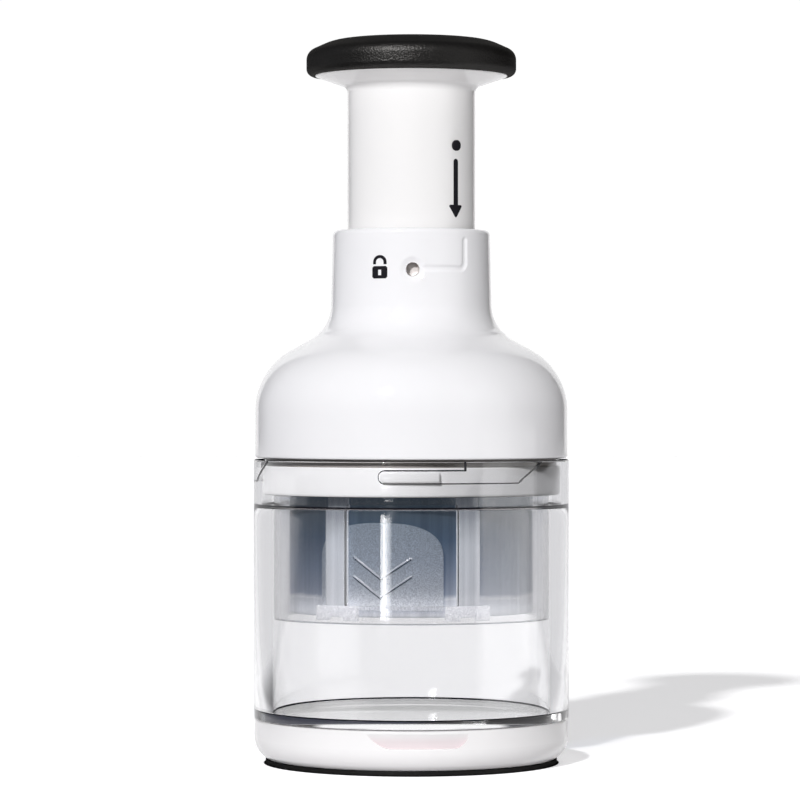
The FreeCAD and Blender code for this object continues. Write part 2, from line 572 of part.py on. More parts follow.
blade_hub = turned([
    (0, 91.6), (35.5, 91.6, 0.5), (35.5, 95.0, 0.8), (7.2, 95.0), (7.2, 100.8, 0.4), (0, 100.8)])
seat = band_path(W, BEND, T_BLADE + 0.1)
seat.translate(Vector(0, 0, 91.0))
blade_hub = blade_hub.cut(seat.extrude(Vector(0, 0, Z_BLADE_HI + 0.05 - 91.0)))
blade_hub = blade_hub.cut(cyl(R_SPIN, 93.6, 101.5).cut(FLAT))
blade_hub = blade_hub.cut(turned([(0, 91.0), (3.9, 91.0), (3.9, 91.7), (1.7, 93.2), (1.7, 94.2), (0, 94.2)]))
# open lightening pockets between the strip's folds
for x, y, r in ((-17.5, 14.5, 6.5), (17.5, 14.5, 6.5), (0.0, -20.0, 6.5)):
    blade_hub = blade_hub.cut(cyl(r, 91.0, 96.0, x, y))
blade_hub = blade_hub.removeSplitter()
hub_screw = turned([(0, 91.75), (3.7, 91.75), (1.6, 93.2), (1.6, 99.9), (0, 99.9)])
hub_screw = hub_screw.cut(Part.makeBox(4.2, 0.8, 0.9, Vector(-2.1, -0.4, 91.5))).cut(
    Part.makeBox(0.8, 4.2, 0.9, Vector(-0.4, -2.1, 91.5))).removeSplitter()

# -------------------------------------------------------------- blade cover
blade_cover = turned([
    (0, Z_FLOOR_LO), (R_COVER_IN, Z_FLOOR_LO), (R_COVER_IN, Z_COVER_LO, 0.3), (R_COVER, Z_COVER_LO, 0.5),
    (R_COVER, 86.4), (40.2, 86.4, 0.3), (40.2, 88.0, 0.3), (R_COVER_IN, 88.0, 0.4), (R_COVER_IN, Z_FLOOR_HI, 0.6),
    (0, Z_FLOOR_HI)])
slot = band_path([(-33.0, 10.0)] + W[1:4] + [(33.0, 10.0)], BEND, T_BLADE + 1.2)
slot.translate(Vector(0, 0, Z_FLOOR_LO - 1))
slot_cut = slot.extrude(Vector(0, 0, 8))
# tall stripping ribs beside the slot keep the blade straight
ribs = band_path([(-15.55, -28.7), W[2], (15.55, -28.7)], BEND + 1.0, T_BLADE + 1.2 + 2.0)
ribs.translate(Vector(0, 0, Z_FLOOR_HI - 0.1))
blade_cover = blade_cover.fuse(ribs.extrude(Vector(0, 0, 1.7)))
# two raised thumb tabs
PHI_TAB = -14.5
TAB_HALF = 28.8
TAB_R = 39.5
tab_w = R_COVER * math.radians(TAB_HALF)


def tab(phi):
    s = sector(R_COVER - 0.6, TAB_R, 49.4, 65.6, -TAB_HALF, TAB_HALF)
    steps = 10
    parts = [s]
    for i in range(steps):
        a0 = math.pi / 2 * i / steps
        a1 = math.pi / 2 * (i + 1) / steps
        zlo = 65.4 + 10.6 * math.sin(a0)
        zhi = 65.4 + 10.6 * math.sin(a1)
        half = TAB_HALF * (math.cos((a0 + a1) / 2)) ** 0.8
        parts.append(sector(R_COVER - 0.6, TAB_R, zlo - 0.1, zhi, -half, half))
    s = parts[0].multiFuse(parts[1:])
    return spin(s, phi)


tab_a = tab(0)
# engraved down chevrons
for zc in (59.3, 54.6):
    for sgn in (-1, 1):
        ch = front_prism([(sgn * 0.0, zc - 0.35), (sgn * 9.0, zc + 6.0), (sgn * 9.0, zc + 7.1), (sgn * 0.0, zc + 0.75)],
                         TAB_R - 0.45, 44.0, 0)
        tab_a = tab_a.cut(ch.cut(cyl(TAB_R - 0.35, 40, 80)))
blade_cover = blade_cover.fuse([spin(tab_a, PHI_TAB), spin(tab_a, PHI_TAB + 180)])
blade_cover = blade_cover.removeSplitter().cut(slot_cut)

# -------------------------------------------------------------- clear skirt
clear_skirt = turned([
    (R_SKIRT_IN, Z_SKIRT_LO, 0.5), (R_SKIRT, Z_SKIRT_LO, 0.7), (R_SKIRT, 92.2), (R_BAND_IN, 92.2), (R_BAND_IN, 96.35),
    (R_SKIRT_IN, 96.35), (R_SKIRT_IN, 90.2), (40.6, 90.2), (40.6, 88.5), (R_SKIRT_IN, 88.5), (R_SKIRT_IN, 86.0),
    (38.6, 86.0, 0.3), (38.6, 84.4, 0.3), (R_SKIRT_IN, 84.4)])
keep = sector(39.4, R_SKIRT_IN + 0.5, 88.5, 90.2, 20, 70)
clear_skirt = clear_skirt.fuse([spin(keep, 120.0 * k) for k in range(3)])
for w in (0.0, 180.0):
    c = PHI_WIN + w
    for s in (-1, 1):
        mid = c + s * (WIN_HALF + POST_W / 2)
        clear_skirt = clear_skirt.fuse(sector(40.3, R_SKIRT - 0.4, 46.2, 84.6, mid - POST_W / 2, mid + POST_W / 2))
        clear_skirt = clear_skirt.fuse(sector(39.9, R_SKIRT - 0.4, 46.4, Z_WIN_LO, mid - 9.6, mid + 9.6))
for w in (0.0, 180.0):
    c = PHI_WIN + w
    clear_skirt = clear_skirt.cut(sector(40.8, 50, Z_WIN_LO, Z_WIN_HI, c - WIN_HALF, c + WIN_HALF))
    for s in (-1, 1):
        mid = c + s * (WIN_HALF + POST_W / 2)
        # small notch under each foot
        clear_skirt = clear_skirt.cut(sector(38.0, R_SKIRT - 0.9, 45.0, 47.4, mid - 3.6, mid + 3.2))
clear_skirt = clear_skirt.removeSplitter()

# ------------------------------------------------------------------- output
save("foot_ring", foot_ring)
save("base_lid", base_lid)
save("cup", cup)
save("base_gasket", base_gasket)
save("housing_shell", housing_shell)
save("lock_symbol", lock_symbol)
save("collar_bush", collar_bush)
save("rest_bumper", rest_bumper)
save("mechanism_plate", mechanism_plate)
save("plate_screws", plate_screws)
save("guide_column", guide_column)
save("ratchet_ring", ratchet_ring)
save("helix_nut", helix_nut)
save("wave_spring", wave_spring)
save("nut_cap", nut_cap)
save("lock_ring", lock_ring)
save("stop_bumper", stop_bumper)
save("carriage", carriage)
save("thrust_washer", thrust_washer)
save("retaining_clip", retaining_clip)
save("return_spring", return_spring)
save("plunger_tube", plunger_tube)
save("position_dot", position_dot)
save("travel_arrow", travel_arrow)
save("knob_core", knob_core)
save("knob_screws", knob_screws)
save("knob_grip", knob_grip)
save("blade_spindle", blade_spindle)
save("spindle_clip", spindle_clip)
save("zigzag_blade", zigzag_blade)
save("blade_hub", blade_hub)
save("hub_screw", hub_screw)
save("blade_cover", blade_cover)
save("clear_skirt", clear_skirt)
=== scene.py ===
import math

import bmesh
import bpy
import numpy as np
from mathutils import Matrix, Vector


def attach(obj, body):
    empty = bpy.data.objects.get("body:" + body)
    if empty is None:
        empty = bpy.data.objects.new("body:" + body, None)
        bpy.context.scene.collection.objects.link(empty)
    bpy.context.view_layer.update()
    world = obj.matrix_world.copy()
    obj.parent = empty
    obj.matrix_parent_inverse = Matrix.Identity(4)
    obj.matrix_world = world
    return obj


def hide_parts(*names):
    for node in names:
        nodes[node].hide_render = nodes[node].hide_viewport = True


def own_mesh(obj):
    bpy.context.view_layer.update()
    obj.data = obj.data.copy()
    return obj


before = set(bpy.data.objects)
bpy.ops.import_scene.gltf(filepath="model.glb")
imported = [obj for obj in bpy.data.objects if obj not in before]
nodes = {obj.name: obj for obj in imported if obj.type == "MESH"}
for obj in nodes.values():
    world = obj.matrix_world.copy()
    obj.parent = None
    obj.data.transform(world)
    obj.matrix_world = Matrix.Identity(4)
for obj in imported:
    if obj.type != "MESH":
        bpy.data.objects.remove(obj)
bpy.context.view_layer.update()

scene = bpy.context.scene
MM = 0.001


# ------------------------------------------------------------------ camera
cam_data = bpy.data.cameras.new("camera")
cam_data.lens = 169.92
cam_data.sensor_width = 36.0
cam_data.clip_start = 0.05
cam_data.clip_end = 30.0
cam_data.dof.use_dof = False
cam = bpy.data.objects.new("camera", cam_data)
scene.collection.objects.link(cam)
cam.location = (0.0, -1.180, 0.1159)
aim = Vector((-0.00353, 0.0, 0.1131))
q = (aim - cam.location).to_track_quat("-Z", "Y")
cam.rotation_mode = "QUATERNION"
cam.rotation_quaternion = q
scene.camera = cam

scene.view_settings.view_transform = "Standard"
scene.view_settings.look = "None"
scene.view_settings.exposure = 0.0
scene.view_settings.gamma = 1.0
scene.cycles.max_bounces = 32
scene.cycles.diffuse_bounces = 4
scene.cycles.glossy_bounces = 6
scene.cycles.transmission_bounces = 28
scene.cycles.transparent_max_bounces = 32
scene.cycles.caustics_reflective = False
scene.cycles.caustics_refractive = False


# ---------------------------------------------------------------- materials
class Mat:
    """A node material with short calls for the nodes that the finishes use."""

    def __init__(self, name):
        self.m = bpy.data.materials.new(name)
        self.m.use_nodes = True
        self.t = self.m.node_tree
        self.t.nodes.clear()
        self.out = self.t.nodes.new("ShaderNodeOutputMaterial")
        self.tex = self.t.nodes.new("ShaderNodeTexCoord")

    def new(self, kind, **kw):
        n = self.t.nodes.new(kind)
        for k, v in kw.items():
            setattr(n, k, v)
        return n

    def link(self, a, b):
        self.t.links.new(a, b)

    def principled(self, **kw):
        n = self.new("ShaderNodeBsdfPrincipled")
        for k, v in kw.items():
            n.inputs[k.replace("_", " ")].default_value = v
        return n

    def noise(self, scale, detail=2.0, rough=0.5, stretch=None, dist=0.0):
        n = self.new("ShaderNodeTexNoise")
        n.inputs["Scale"].default_value = scale
        n.inputs["Detail"].default_value = detail
        n.inputs["Roughness"].default_value = rough
        n.inputs["Distortion"].default_value = dist
        src = self.tex.outputs["Object"]
        if stretch is not None:
            mp = self.new("ShaderNodeMapping")
            mp.inputs["Scale"].default_value = stretch
            self.link(src, mp.inputs["Vector"])
            src = mp.outputs["Vector"]
        self.link(src, n.inputs["Vector"])
        return n.outputs["Fac"]

    def remap(self, fac, lo, hi, a=0.3, b=0.7):
        n = self.new("ShaderNodeMapRange")
        n.inputs["From Min"].default_value = a
        n.inputs["From Max"].default_value = b
        n.inputs["To Min"].default_value = lo
        n.inputs["To Max"].default_value = hi
        self.link(fac, n.inputs["Value"])
        return n.outputs["Result"]

    def ramp(self, fac, stops):
        n = self.new("ShaderNodeValToRGB")
        el = n.color_ramp.elements
        while len(el) > 1:
            el.remove(el[-1])
        el[0].position = stops[0][0]
        el[0].color = (*stops[0][1], 1)
        for p, c in stops[1:]:
            e = el.new(p)
            e.color = (*c, 1)
        self.link(fac, n.inputs["Fac"])
        return n.outputs["Color"]

    def bump(self, height, strength, distance, normal=None):
        n = self.new("ShaderNodeBump")
        n.inputs["Strength"].default_value = strength
        n.inputs["Distance"].default_value = distance
        self.link(height, n.inputs["Height"])
        if normal is not None:
            self.link(normal, n.inputs["Normal"])
        return n.outputs["Normal"]

    def surface(self, shader):
        self.link(shader, self.out.inputs["Surface"])
        return self.m

    def lamp_through(self, shader, tint):
        """The shader, seen as plain transparent by shadow rays, so lamps shine through."""
        lp = self.new("ShaderNodeLightPath")
        tr = self.new("ShaderNodeBsdfTransparent")
        tr.inputs["Color"].default_value = (*tint, 1)
        mx = self.new("ShaderNodeMixShader")
        self.link(lp.outputs["Is Shadow Ray"], mx.inputs["Fac"])
        self.link(shader, mx.inputs[1])
        self.link(tr.outputs["BSDF"], mx.inputs[2])
        return self.surface(mx.outputs["Shader"])


def moulded(name, light, dark, rough, rough_spread=0.03, grain=0.0, grain_scale=2600.0, ior=1.5,
            subsurface=0.0, waves=0.0, lift=0.0):
    """Moulded opaque plastic: faint cloudiness, uneven gloss, optional spark-eroded grain, and with lift a painted
    glow, an emission that fades out from the left side to the right.
    """
    k = Mat(name)
    p = k.principled(IOR=ior)
    cloud = k.noise(46.0, 3.0)
    k.link(k.ramp(cloud, [(0.3, dark), (0.7, light)]), p.inputs["Base Color"])
    k.link(k.remap(k.noise(120.0, 4.0, 0.6), rough - rough_spread, rough + rough_spread), p.inputs["Roughness"])
    normal = None
    if waves:
        normal = k.bump(k.noise(22.0, 1.0, 0.3), 1.0, waves)
    if grain:
        normal = k.bump(k.noise(grain_scale, 4.0, 0.65), 1.0, grain, normal)
    if normal is not None:
        k.link(normal, p.inputs["Normal"])
    if subsurface:
        p.inputs["Subsurface Weight"].default_value = subsurface
        p.inputs["Subsurface Radius"].default_value = (1.0, 0.95, 0.9)
        p.inputs["Subsurface Scale"].default_value = 0.001
    # painted light: lift adds an emission glow, strongest on the left (-X) side and gone by the right
    if lift:
        sep = k.new("ShaderNodeSeparateXYZ")
        k.link(k.tex.outputs["Object"], sep.inputs[0])
        p.inputs["Emission Color"].default_value = (1.0, 0.995, 1.0, 1)
        k.link(k.remap(sep.outputs["X"], lift, 0.0, -0.012, 0.022), p.inputs["Emission Strength"])
    return k.surface(p.outputs["BSDF"])


def rubber(name, light, dark, rough, grain, scale, level=0.04, lamp=None):
    k = Mat(name)
    p = k.new("ShaderNodeBsdfDiffuse")
    g = k.new("ShaderNodeBsdfGlossy")
    g.inputs["Color"].default_value = (level, level * 0.97, level * 0.94, 1)
    k.link(k.ramp(k.noise(900.0, 4.0, 0.7), [(0.35, dark), (0.68, light)]), p.inputs["Color"])
    k.link(k.remap(k.noise(260.0, 5.0, 0.6), rough - 0.05, rough + 0.05), g.inputs["Roughness"])
    v = k.new("ShaderNodeTexVoronoi")
    v.inputs["Scale"].default_value = scale
    k.link(k.tex.outputs["Object"], v.inputs["Vector"])
    n1 = k.bump(v.outputs["Distance"], 1.0, grain)
    n2 = k.bump(k.noise(scale * 1.9, 3.0, 0.6), 1.0, grain * 0.6, n1)
    k.link(n2, p.inputs["Normal"])
    k.link(n2, g.inputs["Normal"])
    both = k.new("ShaderNodeAddShader")
    k.link(p.outputs["BSDF"], both.inputs[0])
    k.link(g.outputs["BSDF"], both.inputs[1])
    if lamp:
        return k.lamp_through(both.outputs["Shader"], lamp)
    return k.surface(both.outputs["Shader"])


def clear(name, tint, rough, ior, lamp, frost=0.0, frost_scale=3000.0, streaks=0.0):
    k = Mat(name)
    p = k.principled(IOR=ior, Transmission_Weight=1.0)
    faint = tuple(c * 0.992 for c in tint)
    k.link(k.ramp(k.noise(30.0, 2.0), [(0.3, faint), (0.7, tint)]), p.inputs["Base Color"])
    k.link(k.remap(k.noise(70.0, 3.0, 0.6), rough * 0.6, rough * 1.4), p.inputs["Roughness"])
    normal = None
    if streaks:
        normal = k.bump(k.noise(1.0, 2.0, 0.5, stretch=(420.0, 420.0, 14.0)), 1.0, streaks)
    if frost:
        normal = k.bump(k.noise(frost_scale, 4.0, 0.7), 1.0, frost, normal)
    if normal is not None:
        k.link(normal, p.inputs["Normal"])
    return k.lamp_through(p.outputs["BSDF"], lamp)


def hazy(name, tint, milk, rough, haze, lamp, streaks=0.0, grain=0.0, ior=1.5, lo=0.049, hi=0.086, glow=None):
    """Cloudy see-through plastic. tint and milk are colour ramps up the height, haze is how milky it is. Ramps that
    darken towards the top paint shade, and glow paints light: an emission ramped up the height.
    """
    k = Mat(name)
    sep = k.new("ShaderNodeSeparateXYZ")
    k.link(k.tex.outputs["Object"], sep.inputs[0])
    wob = k.new("ShaderNodeMath", operation="MULTIPLY_ADD")
    k.link(k.noise(60.0, 3.0), wob.inputs[0])
    wob.inputs[1].default_value = 0.003
    k.link(sep.outputs["Z"], wob.inputs[2])
    up = k.remap(wob.outputs[0], 0.0, 1.0, lo + 0.0015, hi + 0.0015)
    p = k.principled(IOR=ior, Transmission_Weight=1.0)
    k.link(k.ramp(up, tint), p.inputs["Base Color"])
    k.link(k.remap(k.noise(90.0, 3.0, 0.6), rough * 0.75, rough * 1.25), p.inputs["Roughness"])
    cloud = k.new("ShaderNodeBsdfDiffuse")
    through = k.new("ShaderNodeBsdfTranslucent")
    body = k.ramp(up, milk)
    if streaks:
        fine = k.new("ShaderNodeMix", data_type="RGBA", blend_type="MULTIPLY")
        fine.inputs["Factor"].default_value = 1.0
        k.link(body, fine.inputs[6])
        k.link(k.ramp(k.noise(1.0, 3.0, 0.6, stretch=(520.0, 520.0, 9.0)), [(0.32, (0.80, 0.80, 0.81)), (0.68, (1.18, 1.18, 1.17))]),
               fine.inputs[7])
        body = fine.outputs[2]
    if grain:
        fleck = k.new("ShaderNodeMix", data_type="RGBA", blend_type="MULTIPLY")
        fleck.inputs["Factor"].default_value = 1.0
        k.link(body, fleck.inputs[6])
        k.link(k.ramp(k.noise(3100.0, 2.0, 0.75), [(0.40, (0.66, 0.66, 0.68)), (0.60, (1.36, 1.36, 1.33))]), fleck.inputs[7])
        body = fleck.outputs[2]
    k.link(body, cloud.inputs["Color"])
    k.link(body, through.inputs["Color"])
    normal = None
    if streaks:
        normal = k.bump(k.noise(1.0, 2.0, 0.5, stretch=(420.0, 420.0, 14.0)), 1.0, streaks)
    if grain:
        normal = k.bump(k.noise(2200.0, 4.0, 0.7), 1.0, grain, normal)
    if normal is not None:
        k.link(normal, p.inputs["Normal"])
        k.link(normal, cloud.inputs["Normal"])
    milky = k.new("ShaderNodeMixShader")
    milky.inputs["Fac"].default_value = 0.45
    k.link(cloud.outputs["BSDF"], milky.inputs[1])
    k.link(through.outputs["BSDF"], milky.inputs[2])
    mx = k.new("ShaderNodeMixShader")
    mx.inputs["Fac"].default_value = haze
    k.link(p.outputs["BSDF"], mx.inputs[1])
    k.link(milky.outputs["Shader"], mx.inputs[2])
    if glow is None:
        return k.lamp_through(mx.outputs["Shader"], lamp)
    # painted light: an emission glow, ramped up the height
    inner = k.new("ShaderNodeEmission")
    k.link(k.ramp(up, glow), inner.inputs["Color"])
    inner.inputs["Strength"].default_value = 1.0
    both = k.new("ShaderNodeAddShader")
    k.link(mx.outputs["Shader"], both.inputs[0])
    k.link(inner.outputs["Emission"], both.inputs[1])
    return k.lamp_through(both.outputs["Shader"], lamp)


def steel(name, light, dark, rough, stretch, lines=0.000004, aniso=0.0):
    k = Mat(name)
    p = k.principled(Metallic=1.0)
    grain = k.noise(1.0, 5.0, 0.7, stretch=stretch)
    k.link(k.ramp(grain, [(0.3, dark), (0.7, light)]), p.inputs["Base Color"])
    k.link(k.remap(grain, rough - 0.06, rough + 0.08), p.inputs["Roughness"])
    k.link(k.bump(grain, 1.0, lines), p.inputs["Normal"])
    return k.surface(p.outputs["BSDF"])


white = moulded("white_gloss_plastic", (0.850, 0.845, 0.862), (0.836, 0.832, 0.850), 0.075, 0.012,
                grain=0.0000006, grain_scale=900.0)
tube_white = moulded("tube_white_plastic", (0.860, 0.850, 0.848), (0.846, 0.837, 0.836), 0.12, 0.015,
                     grain=0.0000006, grain_scale=900.0)
base_white = moulded("base_white_plastic", (0.858, 0.845, 0.850), (0.842, 0.830, 0.836), 0.14, 0.02,
                     grain=0.0000006, grain_scale=900.0)
# painted light: a whiter base colour and an emission glow brighten the band seen through the cup, most on the left
band_painted_glow = moulded("band_painted_glow_plastic", (0.960, 0.955, 0.965), (0.945, 0.940, 0.950), 0.16, 0.02,
                     grain=0.0000006, grain_scale=900.0, lift=0.36)
shade_dark = moulded("seam_shade", (0.060, 0.055, 0.052), (0.045, 0.042, 0.040), 0.4, 0.05, grain=0.000002)
shade_brown = moulded("recess_shade", (0.36, 0.33, 0.31), (0.31, 0.285, 0.27), 0.4, 0.05, grain=0.000002)
grip_black = rubber("grip_black_elastomer", (0.0030, 0.0028, 0.0026), (0.0014, 0.0013, 0.0013), 0.40, 0.000090, 1900.0,
                    level=0.045)
foot_black = rubber("foot_black_elastomer", (0.0040, 0.0040, 0.0042), (0.0020, 0.0020, 0.0022), 0.50, 0.00003, 1500.0,
                    level=0.014)
mark_black = rubber("mark_black_ink", (0.0120, 0.0110, 0.0150), (0.0080, 0.0075, 0.0105), 0.34, 0.000004, 5000.0,
                    level=0.018)
clear_cup = clear("clear_cup_plastic", (0.968, 0.968, 0.974), 0.012, 1.53, (0.966, 0.966, 0.972))
# cup_edge: painted shade, opaque near-black for the dark lines in the clear cup's groove flanks, ledge, rim and floor
# corner
cup_edge = rubber("cup_edge_shade", (0.010, 0.010, 0.016), (0.006, 0.006, 0.011), 0.4, 0.000002, 2000.0, level=0.003,
                  lamp=(0.966, 0.966, 0.972))
# skirt wall: painted shade, tint and milk darker towards the top under the housing
skirt_wall = hazy("clear_skirt_painted_shade", [(0.0, (0.93, 0.93, 0.94)), (0.6, (0.89, 0.895, 0.91)), (1.0, (0.76, 0.775, 0.80))],
                  [(0.0, (0.62, 0.61, 0.60)), (1.0, (0.50, 0.48, 0.46))], 0.05, 0.035, (0.96, 0.96, 0.96), streaks=0.000012)
# window posts: frosted, with painted light: a glow emission and a milk colour darker towards the top
frost_post_painted_glow = hazy("skirt_post_painted_glow", [(0.0, (0.93, 0.94, 0.96)), (1.0, (0.86, 0.87, 0.89))],
                  [(0.0, (0.96, 0.97, 0.99)), (0.7, (0.92, 0.94, 0.97)), (1.0, (0.62, 0.66, 0.72))], 0.14, 0.58, (0.93, 0.93, 0.95), streaks=0.000020,
                   glow=[(0.0, (0.09, 0.09, 0.092)), (0.55, (0.13, 0.132, 0.136)), (0.8, (0.02, 0.022, 0.026))])
# skirt feet: frosted, with painted light, an even glow emission
frost_foot_painted_glow = hazy("skirt_foot_painted_glow", [(0.0, (0.93, 0.94, 0.96)), (1.0, (0.90, 0.90, 0.92))],
                  [(0.0, (0.96, 0.96, 0.97)), (1.0, (0.94, 0.94, 0.96))], 0.25, 0.66, (0.86, 0.86, 0.88), grain=0.000004,
                   glow=[(0.0, (0.20, 0.20, 0.21)), (1.0, (0.20, 0.20, 0.21))])
# smoke cover: smoke colour plus painted light: darker towards the top, a bright band near the floor, and a glow
# strongest at the bottom
smoke_wall_painted_light = hazy("smoke_cover_painted_light",
                  [(0.0, (0.66, 0.70, 0.77)), (0.35, (0.34, 0.43, 0.55)), (0.8, (0.15, 0.22, 0.32)), (1.0, (0.10, 0.16, 0.25))],
                  [(0.0, (0.96, 0.965, 0.98)), (0.085, (0.80, 0.81, 0.84)), (0.10, (1.0, 1.0, 1.0)), (0.135, (0.50, 0.54, 0.62)), (0.35, (0.35, 0.42, 0.53)), (0.6, (0.17, 0.24, 0.33)), (0.8, (0.135, 0.18, 0.225)), (1.0, (0.125, 0.165, 0.21))],
                  0.14, 0.66, (0.45, 0.50, 0.58), streaks=0.000012,
                  glow=[(0.0, (0.16, 0.16, 0.165)), (0.10, (0.10, 0.10, 0.105)), (0.14, (0.02, 0.024, 0.034)), (0.6, (0.0, 0.004, 0.012)), (1.0, (0.022, 0.030, 0.038))])
# thumb tab: frosted smoke plus painted light: darker towards the top and a glow strongest at the bottom
smoke_tab_painted_light = hazy("tab_frost_painted_light",
                 [(0.0, (0.66, 0.70, 0.78)), (0.4, (0.48, 0.55, 0.64)), (0.8, (0.34, 0.41, 0.52)), (1.0, (0.24, 0.30, 0.40))],
                 [(0.0, (0.88, 0.885, 0.91)), (0.15, (0.60, 0.625, 0.67)), (0.4, (0.45, 0.50, 0.575)), (0.75, (0.38, 0.44, 0.51)), (1.0, (0.38, 0.44, 0.51))],
                 0.30, 0.80, (0.5, 0.54, 0.62), grain=0.000030,
                 glow=[(0.0, (0.18, 0.18, 0.185)), (0.2, (0.05, 0.052, 0.055)), (1.0, (0.03, 0.034, 0.040))])
# chevron flanks: a painted shade copy and a painted highlight copy
tab_painted_shade = moulded("tab_line_painted_shade", (0.034, 0.056, 0.098), (0.022, 0.040, 0.074), 0.4, 0.05, grain=0.000003)
tab_painted_highlight = moulded("tab_line_painted_highlight", (0.70, 0.73, 0.78), (0.60, 0.63, 0.69), 0.3, 0.05, grain=0.000003)
blade_steel = steel("blade_brushed_steel", (0.66, 0.66, 0.67), (0.50, 0.50, 0.52), 0.26, (60.0, 60.0, 2600.0))
spindle_steel = steel("spindle_turned_steel", (0.62, 0.62, 0.63), (0.48, 0.48, 0.50), 0.24, (120.0, 120.0, 3000.0))
spring_steel = steel("spring_steel", (0.55, 0.55, 0.57), (0.40, 0.40, 0.42), 0.28, (900.0, 900.0, 900.0))
zinc_steel = steel("zinc_plated_steel", (0.66, 0.67, 0.70), (0.48, 0.50, 0.54), 0.34, (700.0, 700.0, 700.0))
acetal = moulded("natural_acetal", (0.80, 0.79, 0.76), (0.76, 0.75, 0.72), 0.32, 0.05, grain=0.000003,
                 grain_scale=3000.0, subsurface=0.1)
# collar bush: dark brown colour that paints the shade seen through the window
bush_brown_painted_shade = moulded("bush_painted_shade_plastic", (0.30, 0.215, 0.185), (0.25, 0.18, 0.155), 0.4, 0.05, grain=0.000003,
                   grain_scale=3000.0)
grey = moulded("grey_plastic", (0.50, 0.51, 0.53), (0.45, 0.46, 0.48), 0.34, 0.05, grain=0.000004,
               grain_scale=2600.0)
seal = rubber("seal_silicone", (0.60, 0.60, 0.61), (0.53, 0.53, 0.54), 0.5, 0.00001, 1200.0)

FINISH = {
    "housing_shell": white, "plunger_tube": tube_white, "base_lid": base_white,
    "knob_grip": grip_black, "foot_ring": foot_black,
    "lock_symbol": mark_black, "position_dot": mark_black, "travel_arrow": mark_black,
    "cup": clear_cup, "clear_skirt": skirt_wall, "blade_cover": smoke_wall_painted_light,
    "zigzag_blade": blade_steel, "blade_spindle": spindle_steel, "return_spring": spring_steel,
    "hub_screw": zinc_steel, "plate_screws": zinc_steel, "knob_screws": zinc_steel,
    "retaining_clip": zinc_steel, "spindle_clip": zinc_steel, "wave_spring": zinc_steel,
    "collar_bush": bush_brown_painted_shade, "guide_column": acetal, "ratchet_ring": acetal, "helix_nut": acetal,
    "lock_ring": acetal, "carriage": acetal,
    "mechanism_plate": grey, "nut_cap": grey, "knob_core": grey, "blade_hub": grey,
    "rest_bumper": seal, "stop_bumper": seal, "thrust_washer": seal, "base_gasket": seal,
}
for name, ob in nodes.items():
    ob.data.materials.clear()
    ob.data.materials.append(FINISH[name])


# ------------------------------------------------------------ mesh builders
def outline(pts, seg=5, lines=(), gap=3.0):
    """Closed (r, z[, fillet]) outline as a polyline: rounded corners, and long runs split at the given heights."""
    n = len(pts)
    P = [np.array(p[:2], float) for p in pts]
    out = []
    for i in range(n):
        f = pts[i][2] if len(pts[i]) > 2 else 0.0
        a, b, c = P[i - 1], P[i], P[(i + 1) % n]
        if f <= 0:
            out.append(b)
            continue
        u = (a - b) / np.linalg.norm(a - b)
        v = (c - b) / np.linalg.norm(c - b)
        th = math.acos(max(-1.0, min(1.0, float(u @ v))))
        t = f / math.tan(th / 2)
        cen = b + (u + v) / np.linalg.norm(u + v) * (f / math.sin(th / 2))
        s, e = b + u * t - cen, b + v * t - cen
        a0 = math.atan2(s[1], s[0])
        da = math.atan2(e[1], e[0]) - a0
        da = (da + math.pi) % (2 * math.pi) - math.pi
        m = max(seg, int(abs(da) * f / 0.5))
        for q in range(m + 1):
            g = a0 + da * q / m
            out.append(cen + f * np.array([math.cos(g), math.sin(g)]))
    full = []
    for i in range(len(out)):
        a, b = out[i], out[(i + 1) % len(out)]
        full.append(a)
        if abs(b[1] - a[1]) > gap:
            cut = [z for z in lines if min(a[1], b[1]) + 0.05 < z < max(a[1], b[1]) - 0.05]
            if b[1] < a[1]:
                cut = cut[::-1]
            for z in cut:
                full.append(a + (b - a) * (z - a[1]) / (b[1] - a[1]))
    return full


def place(r, phi, z):
    """A point in metres from radius, azimuth in degrees and height in millimetres."""
    a = math.radians(phi)
    return (r * math.sin(a) * MM, -r * math.cos(a) * MM, z * MM)


def finish_mesh(name, verts, faces, mats, index=None, sharp=34.0, bevel=0.0, bevel_seg=2, body=None, node=None,
                weld=2e-7):
    bm = bmesh.new()
    vs = [bm.verts.new(v) for v in verts]
    for i, f in enumerate(faces):
        try:
            fc = bm.faces.new([vs[k] for k in f])
        except ValueError:
            continue
        fc.material_index = index[i] if index else 0
    bmesh.ops.remove_doubles(bm, verts=bm.verts, dist=weld)
    loose = [v for v in bm.verts if not v.link_faces]
    bmesh.ops.delete(bm, geom=loose, context="VERTS")
    bmesh.ops.recalc_face_normals(bm, faces=bm.faces)
    if bevel:
        hard = [e for e in bm.edges if len(e.link_faces) == 2 and e.calc_face_angle(0.0) > math.radians(50)]
        bmesh.ops.bevel(bm, geom=hard, offset=bevel * MM, segments=bevel_seg, profile=0.5, affect="EDGES",
                        clamp_overlap=True)
    for f in bm.faces:
        f.smooth = True
    for e in bm.edges:
        e.smooth = not (len(e.link_faces) == 2 and e.calc_face_angle(0.0) > math.radians(sharp))
    me = bpy.data.meshes.new(name)
    bm.to_mesh(me)
    bm.free()
    for m in (mats if isinstance(mats, (list, tuple)) else [mats]):
        me.materials.append(m)
    ob = bpy.data.objects.new(name, me)
    scene.collection.objects.link(ob)
    if body:
        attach(ob, body)
    if node:
        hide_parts(*([node] if isinstance(node, str) else node))
    return ob


def lathe(path, phis, shift=None, zone=None):
    """Vertices and quads of a closed outline turned about Z. shift(i, r, phi, z) is taken off the radius."""
    n, m = len(path), len(phis)
    verts = []
    for i, (r, z) in enumerate(path):
        for p in phis:
            d = shift(i, r, p, z) if shift else 0.0
            verts.append(place(max(r - d, 0.0), p, z))
    faces, index = [], []
    for i in range(n):
        k = (i + 1) % n
        mat = zone(path[i], path[k]) if zone else 0
        for j in range(m):
            l = (j + 1) % m
            faces.append((i * m + j, i * m + l, k * m + l, k * m + j))
            index.append(mat)
    return verts, faces, index


